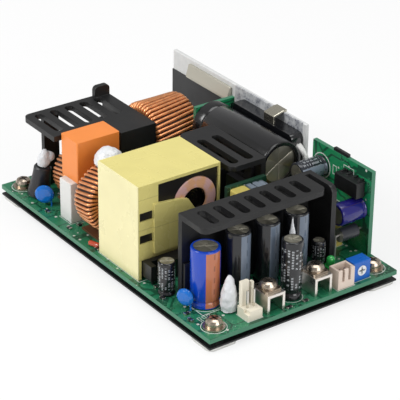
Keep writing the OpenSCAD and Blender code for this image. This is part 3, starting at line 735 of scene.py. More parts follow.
@dataclass(frozen=True)
class Enamel(Finish):
    """Copper wire under clear enamel, with a darker tone here and there."""

    metallic: float = 0.75
    coat: float = 0.5

    def look(self, tree: Tree, point: bpy.types.NodeSocket, grain: bpy.types.Node) -> Look:
        """Lets the wire darken here and there.

        Args:
            tree: The material's tree.
            point: The point on the piece.
            grain: The grain group's node.

        Returns:
            The colour and the height over the surface.
        """
        drift = tree.span(tree.noise(point, 420.0, 1.0), 0.4, 0.65)
        base = tree.mix(tree.calc("MULTIPLY", drift, 0.4), self.colour, shade(self.colour, 0.5))
        return base, grain.outputs["Height"]


@dataclass(frozen=True)
class CoilTape(Finish):
    """Wound coil under pale tape, with painted shade filling its open middle.

    Attributes:
        centre: Where the coil's axis crosses the Y-Z plane, in metres.
        hollow_shade: Radius of the painted shade at the middle, in metres.
        blush: Second colour of the tape.
    """

    centre: tuple[float, float] = (0.0, 0.0)
    hollow_shade: float = 0.0045
    blush: Colour = paint(222, 178, 176)

    def look(self, tree: Tree, point: bpy.types.NodeSocket, grain: bpy.types.Node) -> Look:
        """Winds the tape round the middle painted with shade.

        Args:
            tree: The material's tree.
            point: The point on the piece.
            grain: The grain group's node.

        Returns:
            The colour and the height over the surface.
        """
        _, y, z = tree.split(point)
        aside = tree.calc("SUBTRACT", y, self.centre[0])
        above = tree.calc("SUBTRACT", z, self.centre[1])
        squared = tree.calc("ADD", tree.calc("MULTIPLY", aside, aside),
                            tree.calc("MULTIPLY", above, above))
        radius = tree.calc("SQRT", squared)
        cloud = tree.span(tree.noise(point, 260.0, 2.0), 0.42, 0.58)
        wound = tree.mix(cloud, self.colour, self.blush)
        # Painted shade: the coil's open middle is painted near black.
        dark = tree.calc("LESS_THAN", radius, self.hollow_shade)
        rings = tree.calc("SINE", tree.calc("MULTIPLY", radius, 7000.0))
        folds = tree.calc("ADD", tree.calc("MULTIPLY", rings, 0.3), grain.outputs["Tone"])
        return tree.mix(dark, wound, paint(16, 14, 14)), folds


BLACK = paint(20, 20, 22)
BOARD_MASK = SolderMask("mask", paint(36, 116, 82), rough=(0.25, 0.42), depth=0.00004)
CARD_MASK = SolderMask("card_mask", paint(22, 132, 82), rough=(0.3, 0.45), depth=0.00003)
SHADED_MASK = SolderMask("shaded_mask", paint(18, 62, 42), rough=(0.3, 0.45), depth=0.00003,
                         edge=paint(26, 60, 44))
BLACK_FILM = Finish("black_film", paint(22, 22, 24), rough=(0.4, 0.55), grain=700.0, depth=0.00002)
GLOSS_FILM = Finish("gloss_film", paint(20, 21, 24), rough=(0.1, 0.2), grain=110.0, depth=0.0004,
                    coat=0.5)
FOOT_METAL = Brushed("foot_metal", paint(222, 222, 218), rough=(0.32, 0.5), metallic=0.6)
SCREW_STEEL = Brushed("screw_steel", paint(188, 174, 158), rough=(0.22, 0.34),
                      stretch=(1.0, 1.0, 1.0))
TERMINAL_METAL = Brushed("terminal_metal", paint(240, 234, 226), rough=(0.24, 0.38),
                         stretch=(0.05, 1.0, 1.0))
PIN_METAL = Brushed("pin_metal", paint(214, 210, 202), rough=(0.2, 0.3))
CLIP_STEEL = Brushed("clip_steel", paint(205, 200, 184), rough=(0.16, 0.3),
                     stretch=(1.0, 0.08, 1.0))
CLAMP_BEIGE = Brushed("clamp_beige", paint(196, 192, 178), rough=(0.35, 0.5), metallic=0.5)
BARE_PLATE = RolledPlate("bare_plate", paint(216, 217, 216), rough=(0.3, 0.45))
BLACK_SINK = Finish("black_sink", paint(20, 20, 21), rough=(0.42, 0.58), grain=2600.0,
                    depth=0.00002, tone=0.12)
FERRITE = Finish("ferrite", paint(26, 24, 24), rough=(0.35, 0.5))
# The face colour is painted light: the lit side of the tape is painted paler.
YELLOW_TAPE = Tape("yellow_tape", paint(224, 212, 132), face=paint(236, 228, 176),
                   rough=(0.22, 0.38), depth=0.0003, tone=0.06, lit_side_y=-0.0358)
COIL_WRAP = CoilTape("coil_wrap", paint(226, 172, 134), rough=(0.16, 0.3), grain=500.0,
                     depth=0.00012)
BLACK_PLASTIC = Finish("black_plastic", BLACK, rough=(0.3, 0.48))
EPOXY = Finish("epoxy", paint(32, 32, 34), rough=(0.4, 0.55))
CORE_COAT = Finish("core_coat", paint(48, 28, 18), rough=(0.4, 0.6))
COPPER = Enamel("copper", paint(240, 162, 106), rough=(0.3, 0.42), grain=260.0)
BROWN_SEAT = Finish("brown_seat", paint(96, 62, 38), rough=(0.45, 0.6))
ORANGE_BOX = Finish("orange_box", paint(240, 140, 62), rough=(0.3, 0.42), depth=0.00003, tone=0.05)
WHITE_BOX = Finish("white_box", paint(222, 222, 219), rough=(0.35, 0.5), tone=0.04)
FUSE_SLEEVE = Finish("fuse_sleeve", paint(38, 38, 41), rough=(0.3, 0.46), grain=260.0, depth=0.0006)
DISC_BLUE = Finish("disc_blue", paint(0, 106, 198), rough=(0.1, 0.2), grain=300.0, depth=0.00012,
                   coat=0.3)
HEADER_IVORY = Finish("header_ivory", paint(228, 221, 202), rough=(0.3, 0.42), tone=0.04)
HEADER_BEIGE = Finish("header_beige", paint(222, 204, 190), rough=(0.3, 0.42), tone=0.04)
LED_GREEN = Leaded("led_green", paint(44, 172, 80), rough=(0.1, 0.18), coat=0.6)
TRIMMER_BLUE = Finish("trimmer_blue", paint(24, 98, 190), rough=(0.25, 0.36), tone=0.05)
ROTOR_WHITE = Finish("rotor_white", paint(232, 234, 236), rough=(0.3, 0.4), tone=0.04)
DIODE_BLACK = Leaded("diode_black", paint(52, 54, 60), rough=(0.25, 0.36), axis=1)
COIL_YELLOW = Finish("coil_yellow", paint(196, 180, 96), rough=(0.25, 0.4), grain=260.0,
                     depth=0.00012)
CARD_PARTS = Finish("card_parts", paint(120, 130, 142), rough=(0.25, 0.4))
SILICONE = Finish("silicone", paint(222, 224, 227), rough=(0.22, 0.42), grain=180.0, depth=0.0006,
                  tone=0.06)
SLEEVE_BLACK = Sleeve("sleeve_black", paint(22, 23, 27), rough=(0.14, 0.24),
                      stripe=paint(104, 116, 132), stripe_w=0.17, depth=0.00002)
SLEEVE_PLAIN = Sleeve("sleeve_plain", paint(15, 15, 16), rough=(0.16, 0.28),
                      stripe=paint(24, 24, 26), depth=0.00002)
SLEEVE_PRINTED = Sleeve("sleeve_printed", paint(22, 23, 26), rough=(0.16, 0.28),
                        stripe=paint(52, 55, 60), stripe_w=0.12, marks=0.8, depth=0.00002)
SLEEVE_BLUE = Sleeve("sleeve_blue", paint(12, 64, 180), rough=(0.14, 0.24),
                     stripe=paint(186, 112, 78), stripe_w=0.19, depth=0.00002)
SLEEVE_GREY = Sleeve("sleeve_grey", paint(34, 38, 46), rough=(0.16, 0.28),
                     stripe=paint(116, 126, 140), stripe_w=0.2, marks=0.75, depth=0.00002)
SLEEVE_VIOLET = Sleeve("sleeve_violet", paint(30, 26, 110), rough=(0.14, 0.26),
                       stripe=paint(70, 50, 60), stripe_w=0.24, depth=0.00002)
SILK_WHITE = Finish("silk_white", paint(206, 214, 208), rough=(0.5, 0.65), tone=0.05)
CHIP_BLACK = Finish("chip_black", paint(30, 30, 33), rough=(0.35, 0.5))
GLASS_RED = Finish("glass_red", paint(190, 70, 40), rough=(0.1, 0.2), coat=0.6)
SHADOW_METAL = Finish("shadow_metal", paint(30, 25, 21), rough=(0.5, 0.6), metallic=0.2)
CAN_TOP = Brushed("can_top", paint(176, 172, 156), rough=(0.28, 0.42), stretch=(1.0, 1.0, 1.0),
                  metallic=0.8)


# --------------------------------------------------------------------------
# Modelling
# --------------------------------------------------------------------------


def rest_selection() -> None:
    """Leaves edit mode and deselects everything."""
    if bpy.context.object and bpy.context.object.mode != "OBJECT":
        bpy.ops.object.mode_set(mode="OBJECT")
    bpy.ops.object.select_all(action="DESELECT")


def pick(piece: bpy.types.Object) -> None:
    """Makes one object the only selected and active one.

    Args:
        piece: The object.
    """
    rest_selection()
    piece.select_set(True)
    bpy.context.view_layer.objects.active = piece


@contextmanager
def editing(piece: bpy.types.Object) -> Iterator[None]:
    """Opens a piece in edit mode with everything selected, and closes it after the block.

    Args:
        piece: The piece.

    Yields:
        Nothing.
    """
    pick(piece)
    bpy.ops.object.mode_set(mode="EDIT")
    bpy.ops.mesh.select_all(action="SELECT")
    yield
    bpy.ops.object.mode_set(mode="OBJECT")


def settle(piece: bpy.types.Object) -> None:
    """Writes an object's place, turn and size into its mesh."""
    pick(piece)
    bpy.ops.object.transform_apply(location=True, rotation=True, scale=True)


def dress(nodes: dict[str, bpy.types.Object], name: str, finish: Finish) -> None:
    """Gives a CAD node a finish.

    Args:
        nodes: The frame's nodes.
        name: The node's name.
        finish: The finish it takes.
    """
    node = nodes[name]
    if not node.material_slots:
        node.data.materials.append(finish.material())
    for place in node.material_slots:
        place.material = finish.material()


def soften(nodes: dict[str, bpy.types.Object], name: str, width: float) -> None:
    """Rounds the sharp edges of a CAD node with live modifiers.

    Args:
        nodes: The frame's nodes.
        name: The node's name.
        width: Width of the rounded edge in metres.
    """
    node = nodes[name]
    weld = node.modifiers.new("weld", "WELD")
    weld.merge_threshold = WELD_REACH
    flat = node.modifiers.new("flat", "DECIMATE")
    flat.decimate_type = "DISSOLVE"
    flat.angle_limit = math.radians(0.5)
    edge = node.modifiers.new("edge", "BEVEL")
    edge.width = width
    edge.segments = 2
    edge.limit_method = "ANGLE"
    edge.angle_limit = math.radians(38)
    edge.use_clamp_overlap = True
    edge.harden_normals = False


def join(pieces: Sequence[bpy.types.Object], name: str) -> bpy.types.Object:
    """Joins pieces into the first of them and names it.

    Args:
        pieces: The pieces.
        name: The joined piece's name.

    Returns:
        The joined piece.
    """
    rest_selection()
    for piece in pieces:
        piece.select_set(True)
    bpy.context.view_layer.objects.active = pieces[0]
    if len(pieces) > 1:
        bpy.ops.object.join()
    pieces[0].name = name
    return pieces[0]


def twin(piece: bpy.types.Object) -> bpy.types.Object:
    """Copies a piece together with its mesh.

    Args:
        piece: The piece.

    Returns:
        The copy.
    """
    copy = piece.copy()
    copy.data = piece.data.copy()
    bpy.context.scene.collection.objects.link(copy)
    return copy


def finish_piece(piece: bpy.types.Object, name: str, finish: Finish,
                 replaces: Sequence[str] = (), body: str = BODY) -> bpy.types.Object:
    """Names, paints and mounts a piece.

    Args:
        piece: The finished mesh, with its place in its vertices.
        name: The piece's name.
        finish: The finish it takes.
        replaces: CAD nodes that the piece stands for.
        body: The CAD body that it rides on.

    Returns:
        The piece.
    """
    settle(piece)
    piece.name = name
    piece.data.name = name
    piece.data.materials.clear()
    piece.data.materials.append(finish.material())
    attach(piece, body)
    if replaces:
        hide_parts(*replaces)
    return piece


def wire_loop(inner: float, outer: float, length: float, wire: float,
              corner: float) -> bpy.types.Object:
    """Models one turn of wire round a ring core's section.

    Args:
        inner: Distance of the turn's inner run from the ring's axis.
        outer: Distance of its outer run.
        length: Size along the ring's axis.
        wire: Wire diameter.
        corner: Radius of the turn's bends.

    Returns:
        The turn, in the X-Z plane, with the ring's axis along Z.
    """
    rest_selection()
    wide = outer - inner - wire
    tall = length - wire
    bpy.ops.mesh.primitive_plane_add(size=1.0, location=((inner + outer) / 2, 0, 0),
                                     rotation=(math.pi / 2, 0, 0))
    turn = bpy.context.object
    turn.scale = (wide, tall, 1.0)
    settle(turn)
    with editing(turn):
        bpy.ops.mesh.bevel(offset=corner, segments=4, affect="VERTICES")
        bpy.ops.mesh.delete(type="ONLY_FACE")
    bpy.ops.object.convert(target="CURVE")
    turn = bpy.context.object
    turn.data.bevel_depth = wire / 2
    turn.data.bevel_resolution = 2
    bpy.ops.object.convert(target="MESH")
    return bpy.context.object


@dataclass
class RingWinding:
    """A wire wound round a ring core.

    Attributes:
        node: The CAD node that the winding stands for.
        axis: The ring's axis.
        turns: Number of turns.
        wire: Wire diameter in metres.
        bore: Diameter of the hole that is left, in metres.
        lean: How far each turn leans along the ring, in degrees.
    """

    node: str
    axis: Axis
    turns: int
    wire: float
    bore: float
    lean: float = 4.0

    def build(self) -> bpy.types.Object:
        """Models the winding where its CAD node is.

        Returns:
            The winding.
        """
        low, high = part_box(self.node)
        middle = (low + high) / 2
        size = high - low
        length = size.x if self.axis is Axis.ALONG_X else size.y
        reach = length / 2 * math.sin(math.radians(self.lean + 1))
        outer = math.sqrt((size.z / 2 - 0.00002) ** 2 - reach ** 2)
        first = wire_loop(self.bore / 2, outer, length, self.wire, self.wire * 1.3)
        chance = random.Random(len(self.node) + self.turns)
        turns = []
        for number in range(self.turns):
            turn = first if number == 0 else twin(first)
            angle = 2 * math.pi * (number + chance.uniform(-0.08, 0.08)) / self.turns
            lean = math.radians(self.lean + chance.uniform(-1.0, 1.0))
            slip = chance.uniform(-0.3, 0.0) * self.wire * 0.25
            turn.matrix_world = (Matrix.Rotation(angle, 4, "Z") @ Matrix.Translation((slip, 0, 0))
                                 @ Matrix.Rotation(lean, 4, "X"))
            turns.append(turn)
        winding = join(turns, self.node + "_wire")
        settle(winding)
        winding.matrix_world = (Matrix.Translation(middle)
                                @ Euler(self.axis.value).to_matrix().to_4x4())
        settle(winding)
        bpy.ops.object.shade_smooth()
        return finish_piece(winding, self.node + "_wire", COPPER, [self.node])


class Turner:
    """Shapes an upright round blank by cutting rings into it, as on a lathe."""

    def __init__(self, diameter: float, height: float, sides: int = 48) -> None:
        """Adds the blank, standing on the origin.

        Args:
            diameter: Its diameter.
            height: Its height.
            sides: Number of sides.
        """
        rest_selection()
        bpy.ops.mesh.primitive_cylinder_add(vertices=sides, radius=diameter / 2, depth=height,
                                            location=(0, 0, height / 2))
        self.piece = bpy.context.object
        self.radius = diameter / 2
        self.height = height
        settle(self.piece)

    def cut(self, *heights: float) -> None:
        """Cuts rings of edges at some heights.

        Args:
            *heights: Where the rings go.
        """
        with editing(self.piece):
            for height in heights:
                bpy.ops.mesh.select_all(action="SELECT")
                bpy.ops.mesh.bisect(plane_co=(0, 0, height), plane_no=(0, 0, 1))

    @contextmanager
    def chosen(self, keep: Callable[[Vector], bool]) -> Iterator[None]:
        """Opens the piece in edit mode with the vertices selected that a test keeps.

        Args:
            keep: Says of a vertex's place whether it is kept.

        Yields:
            Nothing.
        """
        with editing(self.piece):
            bpy.ops.mesh.select_all(action="DESELECT")
        for vertex in self.piece.data.vertices:
            vertex.select = keep(vertex.co)
        for edge in self.piece.data.edges:
            edge.select = all(self.piece.data.vertices[v].select for v in edge.vertices)
        for face in self.piece.data.polygons:
            face.select = all(self.piece.data.vertices[v].select for v in face.vertices)
        bpy.ops.object.mode_set(mode="EDIT")
        yield
        bpy.ops.object.mode_set(mode="OBJECT")

    def squeeze(self, height: float, radius: float) -> None:
        """Brings the ring at a height to a radius.

        Args:
            height: Height of the ring.
            radius: Its new radius.
        """
        share = radius / self.radius
        with self.chosen(lambda co: abs(co.z - height) < 2 * SNAP):
            bpy.ops.transform.resize(value=(share, share, 1.0), center_override=(0, 0, height))

    def sink_top(self, rim: float, depth: float) -> None:
        """Insets the top face by a rim and pushes it down.

        Args:
            rim: Width of the rim.
            depth: How far the face goes down.
        """
        with self.chosen(lambda co: abs(co.z - self.height) < SNAP):
            bpy.ops.mesh.inset(thickness=rim)
            bpy.ops.mesh.extrude_region_move(TRANSFORM_OT_translate={"value": (0, 0, -depth)})

    def round_top(self, width: float) -> None:
        """Rounds the outer top edge.

        Args:
            width: Width of the rounding.
        """
        with self.chosen(lambda co: abs(co.z - self.height) < SNAP
                         and math.hypot(co.x, co.y) > self.radius * 0.999):
            bpy.ops.mesh.bevel(offset=width, segments=3, affect="EDGES")

    def wrap(self) -> None:
        """Gives the piece a map of angle and height."""
        mesh = self.piece.data
        layer = mesh.uv_layers.active or mesh.uv_layers.new(name="wrap")
        for face in mesh.polygons:
            turn = math.atan2(face.center.y, face.center.x) / (2 * math.pi)
            for corner in face.loop_indices:
                place = mesh.vertices[mesh.loops[corner].vertex_index].co
                angle = math.atan2(place.y, place.x) / (2 * math.pi)
                if angle - turn > 0.5:
                    angle -= 1
                elif turn - angle > 0.5:
                    angle += 1
                layer.data[corner].uv = (angle % 1.0 if abs(angle - turn) < 0.5 else turn % 1.0,
                                         place.z / self.height)

    def shine(self) -> bpy.types.Object:
        """Smooths the piece's round faces.

        Returns:
            The piece.
        """
        pick(self.piece)
        bpy.ops.object.shade_smooth_by_angle(angle=math.radians(35))
        return self.piece


@dataclass
class Can:
    """An electrolytic capacitor: a shrunk sleeve rolled over a scored metal top.

    Attributes:
        name: The piece's name.
        foot: Centre of its foot, in metres.
        diameter: Diameter in metres.
        height: Height in metres.
        axis: The way it points.
        sleeve: The sleeve's finish.
        slot: The record's material slot; not used.
        spin: Turn of the stripe round the can, in degrees.
        lip: How far the sleeve stands past the top, in metres.
        rim: Width of the sleeve's rolled edge as a share of the diameter.
        foot_edge: Chamfer round the foot, in metres.
        top_edge: Rounding of the rolled edge, in metres.
        plate: Thickness of the top, in metres.
        bead_at: Height of the pressed-in bead as a share of the height.
        bead: Steps along the can from the bead's middle and their depths, in millimetres.
    """

    name: str
    foot: Vector
    diameter: float
    height: float
    sleeve: Finish
    slot: str
    axis: Axis = Axis.UP
    spin: float = 0.0
    lip: float = 0.3 * MM
    rim: float = 0.09
    foot_edge: float = 0.4 * MM
    top_edge: float = 0.5 * MM
    plate: float = 0.4 * MM
    bead_at: float = 0.12
    bead: tuple[tuple[float, float], ...] = (
        (-0.7, 0.0), (-0.3, 0.2), (0.0, 0.4), (0.3, 0.2), (0.7, 0.0))

    def build(self, replaces: Sequence[str] = ()) -> list[bpy.types.Object]:
        """Models the sleeve and the top.

        Args:
            replaces: CAD nodes that the sleeve stands for.

        Returns:
            The sleeve and the top.
        """
        radius = self.diameter / 2
        bead = self.bead_at * self.height
        rim = self.rim * self.diameter
        lathe = Turner(self.diameter, self.height)
        lathe.cut(self.foot_edge, *(bead + along * MM for along, _ in self.bead))
        lathe.squeeze(0.0, radius - self.foot_edge)
        for along, depth in self.bead:
            lathe.squeeze(bead + along * MM, radius - depth * MM)
        lathe.sink_top(rim, self.lip)
        lathe.round_top(self.top_edge)
        lathe.wrap()
        sleeve = lathe.shine()
        disc = Turner(self.diameter - 2 * rim, self.plate)
        self.score(disc)
        top = disc.shine()
        top.location = (0, 0, self.height - self.lip - self.plate / 2)
        settle(top)
        for part in (sleeve, top):
            part.matrix_world = (Matrix.Translation(self.foot)
                                 @ Euler(self.axis.value).to_matrix().to_4x4()
                                 @ Matrix.Rotation(math.radians(self.spin), 4, "Z"))
        finish_piece(sleeve, self.name, self.sleeve, replaces)
        finish_piece(top, self.name + "_top", CAN_TOP, replaces)
        return [sleeve, top]

    def score(self, disc: Turner) -> None:
        """Presses the vent lines into the top as fine grooves.

        Args:
            disc: The blank of the top.
        """
        turns = [math.pi * number / 3 for number in range(3)]
        normals = [Vector((-math.sin(turn), math.cos(turn), 0)) for turn in turns]
        with editing(disc.piece):
            for normal in normals:
                for side in (-1, 0, 1):
                    bpy.ops.mesh.select_all(action="SELECT")
                    bpy.ops.mesh.bisect(plane_co=normal * side * GROOVE, plane_no=normal)
        reach = disc.radius * 0.9
        with disc.chosen(lambda co: co.z > disc.height - SNAP and math.hypot(co.x, co.y) < reach
                         and any(abs(co.dot(normal)) < 2 * SNAP for normal in normals)):
            bpy.ops.transform.translate(value=(0, 0, -GROOVE))


def frame_outline(centre: Vector, size: Sequence[float], line: float,
                  sides: int = 4) -> bpy.types.Object:
    """Models a thin raised outline that lies flat.

    Args:
        centre: Its middle.
        size: Length along X and width along Y.
        line: Width of the line.
        sides: 4 for a rectangle, more for a ring.

    Returns:
        The outline.
    """
    rest_selection()
    if sides == 4:
        bpy.ops.mesh.primitive_plane_add(size=1.0)
    else:
        bpy.ops.mesh.primitive_circle_add(vertices=sides, radius=0.5, fill_type="NGON")
    piece = bpy.context.object
    piece.scale = (size[0], size[1], 1.0)
    piece.location = centre
    settle(piece)
    with editing(piece):
        bpy.ops.mesh.inset(thickness=line)
        bpy.ops.mesh.delete(type="FACE")
        bpy.ops.mesh.select_all(action="SELECT")
        bpy.ops.mesh.extrude_region_move(TRANSFORM_OT_translate={"value": (0, 0, INK_HEIGHT)})
        bpy.ops.mesh.select_all(action="SELECT")
        bpy.ops.mesh.normals_make_consistent(inside=False)
    return piece


def block(centre: Vector, size: Sequence[float], edge: float,
          turn: float = 0.0) -> bpy.types.Object:
    """Models a block with chamfered edges.

    Args:
        centre: Its middle.
        size: Its length, width and height.
        edge: Width of the chamfer.
        turn: Turn about Z in degrees.

    Returns:
        The block.
    """
    rest_selection()
    bpy.ops.mesh.primitive_cube_add(size=1.0)
    piece = bpy.context.object
    piece.scale = tuple(size)
    settle(piece)
    with editing(piece):
        bpy.ops.mesh.bevel(offset=edge, segments=2, affect="EDGES")
    piece.rotation_euler = (0, 0, math.radians(turn))
    piece.location = centre
    settle(piece)
    return piece


def bent_rod(points: Sequence[Vector], diameter: float) -> bpy.types.Object:
    """Models a round rod through some points.

    Args:
        points: The points of its middle line.
        diameter: Its diameter.

    Returns:
        The rod.
    """
    rest_selection()
    bpy.ops.curve.primitive_nurbs_path_add()
    rod = bpy.context.object
    line = rod.data
    line.splines.clear()
    spline = line.splines.new("NURBS")
    spline.points.add(len(points) - 1)
    for corner, place in zip(spline.points, points):
        corner.co = (*place, 1.0)
    spline.use_endpoint_u = True
    spline.order_u = 3
    line.resolution_u = 6
    line.bevel_depth = diameter / 2
    line.bevel_resolution = 3
    line.use_fill_caps = True
    bpy.ops.object.convert(target="MESH")
    rod = bpy.context.object
    with editing(rod):
        bpy.ops.mesh.normals_make_consistent(inside=False)
    bpy.ops.object.shade_smooth_by_angle(angle=math.radians(40))
    return rod


def roughen(nodes: dict[str, bpy.types.Object], name: str, size: float, depth: float) -> None:
    """Gives a CAD node the uneven skin of a set paste with live modifiers.

    Args:
        nodes: The frame's nodes.
        name: The node's name.
        size: Size of the unevenness in metres.
        depth: How far it goes in, in metres.
    """
    node = nodes[name]
    weld = node.modifiers.new("weld", "WELD")
    weld.merge_threshold = WELD_REACH
    even = node.modifiers.new("even", "REMESH")
    even.mode = "VOXEL"
    even.voxel_size = 0.0003
    even.use_smooth_shade = True
    lumps = bpy.data.textures.new(name + "_lumps", "CLOUDS")
    lumps.noise_scale = size
    press = node.modifiers.new("press", "DISPLACE")
    press.texture = lumps
    press.mid_level = 1.0
    press.strength = depth


# --------------------------------------------------------------------------
# Sub-assemblies
# --------------------------------------------------------------------------


@dataclass
class SubAssembly:
    """A group of CAD nodes and the pieces built round them.

    Attributes:
        nodes: The frame's nodes.
        finishes: Finish of each CAD node that stays.
        edges: Rounded edge of each CAD node that gets one, in metres.
    """

    nodes: dict[str, bpy.types.Object]
    finishes: dict[str, Finish] = field(default_factory=dict)
    edges: dict[str, float] = field(default_factory=dict)

    def dress(self) -> None:
        """Gives each kept CAD node its finish and its rounded edges."""
        for name, finish in self.finishes.items():
            dress(self.nodes, name, finish)
        for name, width in self.edges.items():
            soften(self.nodes, name, width)

    def build(self) -> list[bpy.types.Object]:
        """Models this sub-assembly's own pieces.

        Returns:
            The pieces.
        """
        return []


# Place on the board in millimetres and turn in degrees of each small flat part.
CHIP_PLACES = (
    (46.8, -35.0, 90), (50.6, -36.2, 0), (34.6, -35.9, 0), (27.6, -33.2, 90), (-4.2, -35.6, 0),
    (-6.6, -33.0, 90), (-22.0, -35.6, 0), (-36.4, -35.4, 0), (51.2, 9.8, 0), (52.6, 14.2, 90),
    (55.0, 22.6, 0), (53.4, 26.2, 90), (50.8, 23.6, 0), (51.6, 30.6, 0), (62.0, 0.8, 90),
    (62.2, -6.0, 90), (-21.8, -31.6, 90))


@dataclass
class BoardStack(SubAssembly):
    """The circuit board, the sheet below it, the feet and the corner screws.

    Attributes:
        line: Width of a printed outline.
        margin: Room between a part and its outline, and between an outline and the board's edge.
        screw_ring: Diameter of the ring round a corner screw.
        pad: Size of each of the nine small outlines behind the terminals.
        pad_start: Place of the first of them.
        pad_step: Distance from one to the next along X and Y.
        chip: Size of a small flat part.
        chip_end: Size of each of its tinned ends.
    """

    finishes: dict[str, Finish] = field(default_factory=lambda: {
        "circuit_board": BOARD_MASK.for_node("circuit_board", 2), "insulating_sheet": BLACK_FILM,
        "corner_feet": FOOT_METAL, "corner_washers": SCREW_STEEL, "corner_screws": SCREW_STEEL})
    edges: dict[str, float] = field(default_factory=lambda: {"corner_feet": 0.0002})
    line: float = 0.22 * MM
    margin: float = 0.3 * MM
    screw_ring: float = 8.6 * MM
    pad: tuple[float, float] = (1.6 * MM, 1.1 * MM)
    pad_start: tuple[float, float] = (51.5 * MM, -33.5 * MM)
    pad_step: tuple[float, float] = (2.1 * MM, 1.8 * MM)
    chip: tuple[float, float, float] = (1.9 * MM, 1.2 * MM, 0.6 * MM)
    chip_end: tuple[float, float, float] = (0.5 * MM, 1.26 * MM, 0.66 * MM)

    def top(self) -> float:
        """Returns the height of the board's upper face."""
        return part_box("circuit_board")[1].z

    def outlines(self) -> bpy.types.Object:
        """Models the pale outlines printed round the parts.

        Returns:
            The outlines.
        """
        top = self.top()
        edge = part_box("circuit_board")[1]
        boxed = ("fan_header", "signal_header", "trimmer_body", "transformer_tape",
                 "white_film_capacitor",
                 "line_film_capacitor", "auxiliary_transformer", "input_header", "output_heat_sink")
        made = []
        for node in boxed:
            low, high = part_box(node)
            centre = Vector(((low.x + high.x) / 2, (low.y + high.y) / 2, top))
            size = (min(high.x - low.x,
                        2 * (edge.x - self.margin - abs(centre.x))) + 2 * self.margin,
                    min(high.y - low.y,
                        2 * (edge.y - self.margin - abs(centre.y))) + 2 * self.margin)
            made.append(frame_outline(centre, size, self.line))
        rings = [("blue_output_capacitor", 1.2), ("slim_output_capacitor", 1.0),
                 ("status_led", 0.9)]
        for node, spread in rings:
            low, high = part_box(node)
            size = high.x - low.x + spread * MM
            centre = Vector(((low.x + high.x) / 2, (low.y + high.y) / 2, top))
            made.append(frame_outline(centre, (size, size), self.line, RING_SIDES))
        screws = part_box("corner_screws")[1]
        for side_x, side_y in ((1, -1), (-1, -1), (1, 1), (-1, 1)):
            centre = Vector((side_x * (screws.x - CORNER_HEAD / 2),
                             side_y * (screws.y - CORNER_HEAD / 2), top))
            made.append(frame_outline(centre, (self.screw_ring,) * 2, self.line, RING_SIDES))
        for number in range(9):
            centre = Vector((self.pad_start[0] + self.pad_step[0] * (number % 3),
                             self.pad_start[1] + self.pad_step[1] * (number // 3), top))
            made.append(frame_outline(centre, self.pad, 0.16 * MM))
        return finish_piece(join(made, "board_outlines"), "board_outlines", SILK_WHITE)

    def chips(self) -> list[bpy.types.Object]:
        """Models the small flat parts soldered on the board.

        Returns:
            Their bodies and their tinned ends.
        """
        top = self.top()
        bodies, ends = [], []
        for x, y, turn in CHIP_PLACES:
            centre = Vector((x * MM, y * MM, top + 0.32 * MM))
            bodies.append(block(centre, self.chip, 0.06 * MM, turn))
            along = Vector((math.cos(math.radians(turn)), math.sin(math.radians(turn)), 0))
            for side in (-1, 1):
                ends.append(block(centre + along * side * 0.85 * MM, self.chip_end, 0.05 * MM,
                                  turn))
        return [finish_piece(join(bodies, "chip_bodies"), "chip_bodies", CHIP_BLACK),
                finish_piece(join(ends, "chip_ends"), "chip_ends", PIN_METAL)]

    def glass_diode(self) -> bpy.types.Object:
        """Models the small glass diode at the foot of the transformer.

        Returns:
            The diode.
        """
        length, cap = 4.2 * MM, 0.5 * MM
        lathe = Turner(1.9 * MM, length, 24)
        lathe.cut(cap, length - cap)
        lathe.squeeze(0.0, 0.7 * MM)
        lathe.round_top(0.3 * MM)
        piece = lathe.shine()
        piece.rotation_euler = (0, math.pi / 2, math.radians(20))
        piece.location = (-8.4 * MM, -36.2 * MM, self.top() + 1.0 * MM)
        return finish_piece(piece, "glass_diode", GLASS_RED)

    def build(self) -> list[bpy.types.Object]:
        """Models the outlines, the small parts and the painted shade in the screws' recesses.

        Returns:
            The pieces.
        """
        return [self.outlines(), *self.chips(), self.glass_diode(),
                screw_recess_shade("corner_screws", self.nodes, CORNER_HEAD)]


def screw_recess_shade(node: str, nodes: dict[str, bpy.types.Object],
                   head: float) -> bpy.types.Object:
    """Models painted shade in each cross recess of a node's screws: dark bars from the recess floor
    to just below the crown.

    Args:
        node: The screws' CAD node.
        nodes: The frame's nodes.
        head: Diameter of a screw head.

    Returns:
        The bars of painted shade, joined.
    """
    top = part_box(node)[1].z
    crowns = [v.co for v in nodes[node].data.vertices if v.co.z > top - 0.05 * MM]
    centres: list[list[Vector]] = []
    for place in crowns:
        home = next((c for c in centres if (c[0] - place).length < head), None)
        if home is None:
            centres.append([place])
        else:
            home.append(place)
    bars = []
    for members in centres:
        middle = Vector((sum(m.x for m in members), sum(m.y for m in members), 0)) / len(members)
        # Painted shade: dark bars that fill the cross recess nearly to the crown stand in for the
        # shade inside it.
        depth = 0.55 * HEAD_HEIGHT - 0.16 * MM
        middle.z = top - 0.55 * HEAD_HEIGHT + depth / 2 + SNAP
        for turn in (0, 90):
            bars.append(block(middle, (0.59 * head, 0.68 * MM, depth), 0.02 * MM, turn))
    name = node + "_recess"
    return finish_piece(join(bars, name), name, SHADOW_METAL)


def leaded(finish: Leaded, node: str, below: float, above: float) -> Leaded:
    """Fits a finish with leads to a node.

    Args:
        finish: The finish.
        node: The CAD node it paints.
        below: Length of the leads before the body, along the finish's axis.
        above: Length of the leads after it.

    Returns:
        The finish, with the body's ends set.
    """
    low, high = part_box(node)
    return replace(finish, body=(low[finish.axis] + below, high[finish.axis] - above + SNAP))


def stand(piece: bpy.types.Object, place: Vector) -> bpy.types.Object:
    """Turns a flat piece to stand facing the front, and puts it in place.

    Args:
        piece: The piece, flat on the origin.
        place: Where its middle goes.

    Returns:
        The piece.
    """
    piece.rotation_euler = (math.pi / 2, 0, 0)
    piece.location = place
    settle(piece)
    return piece


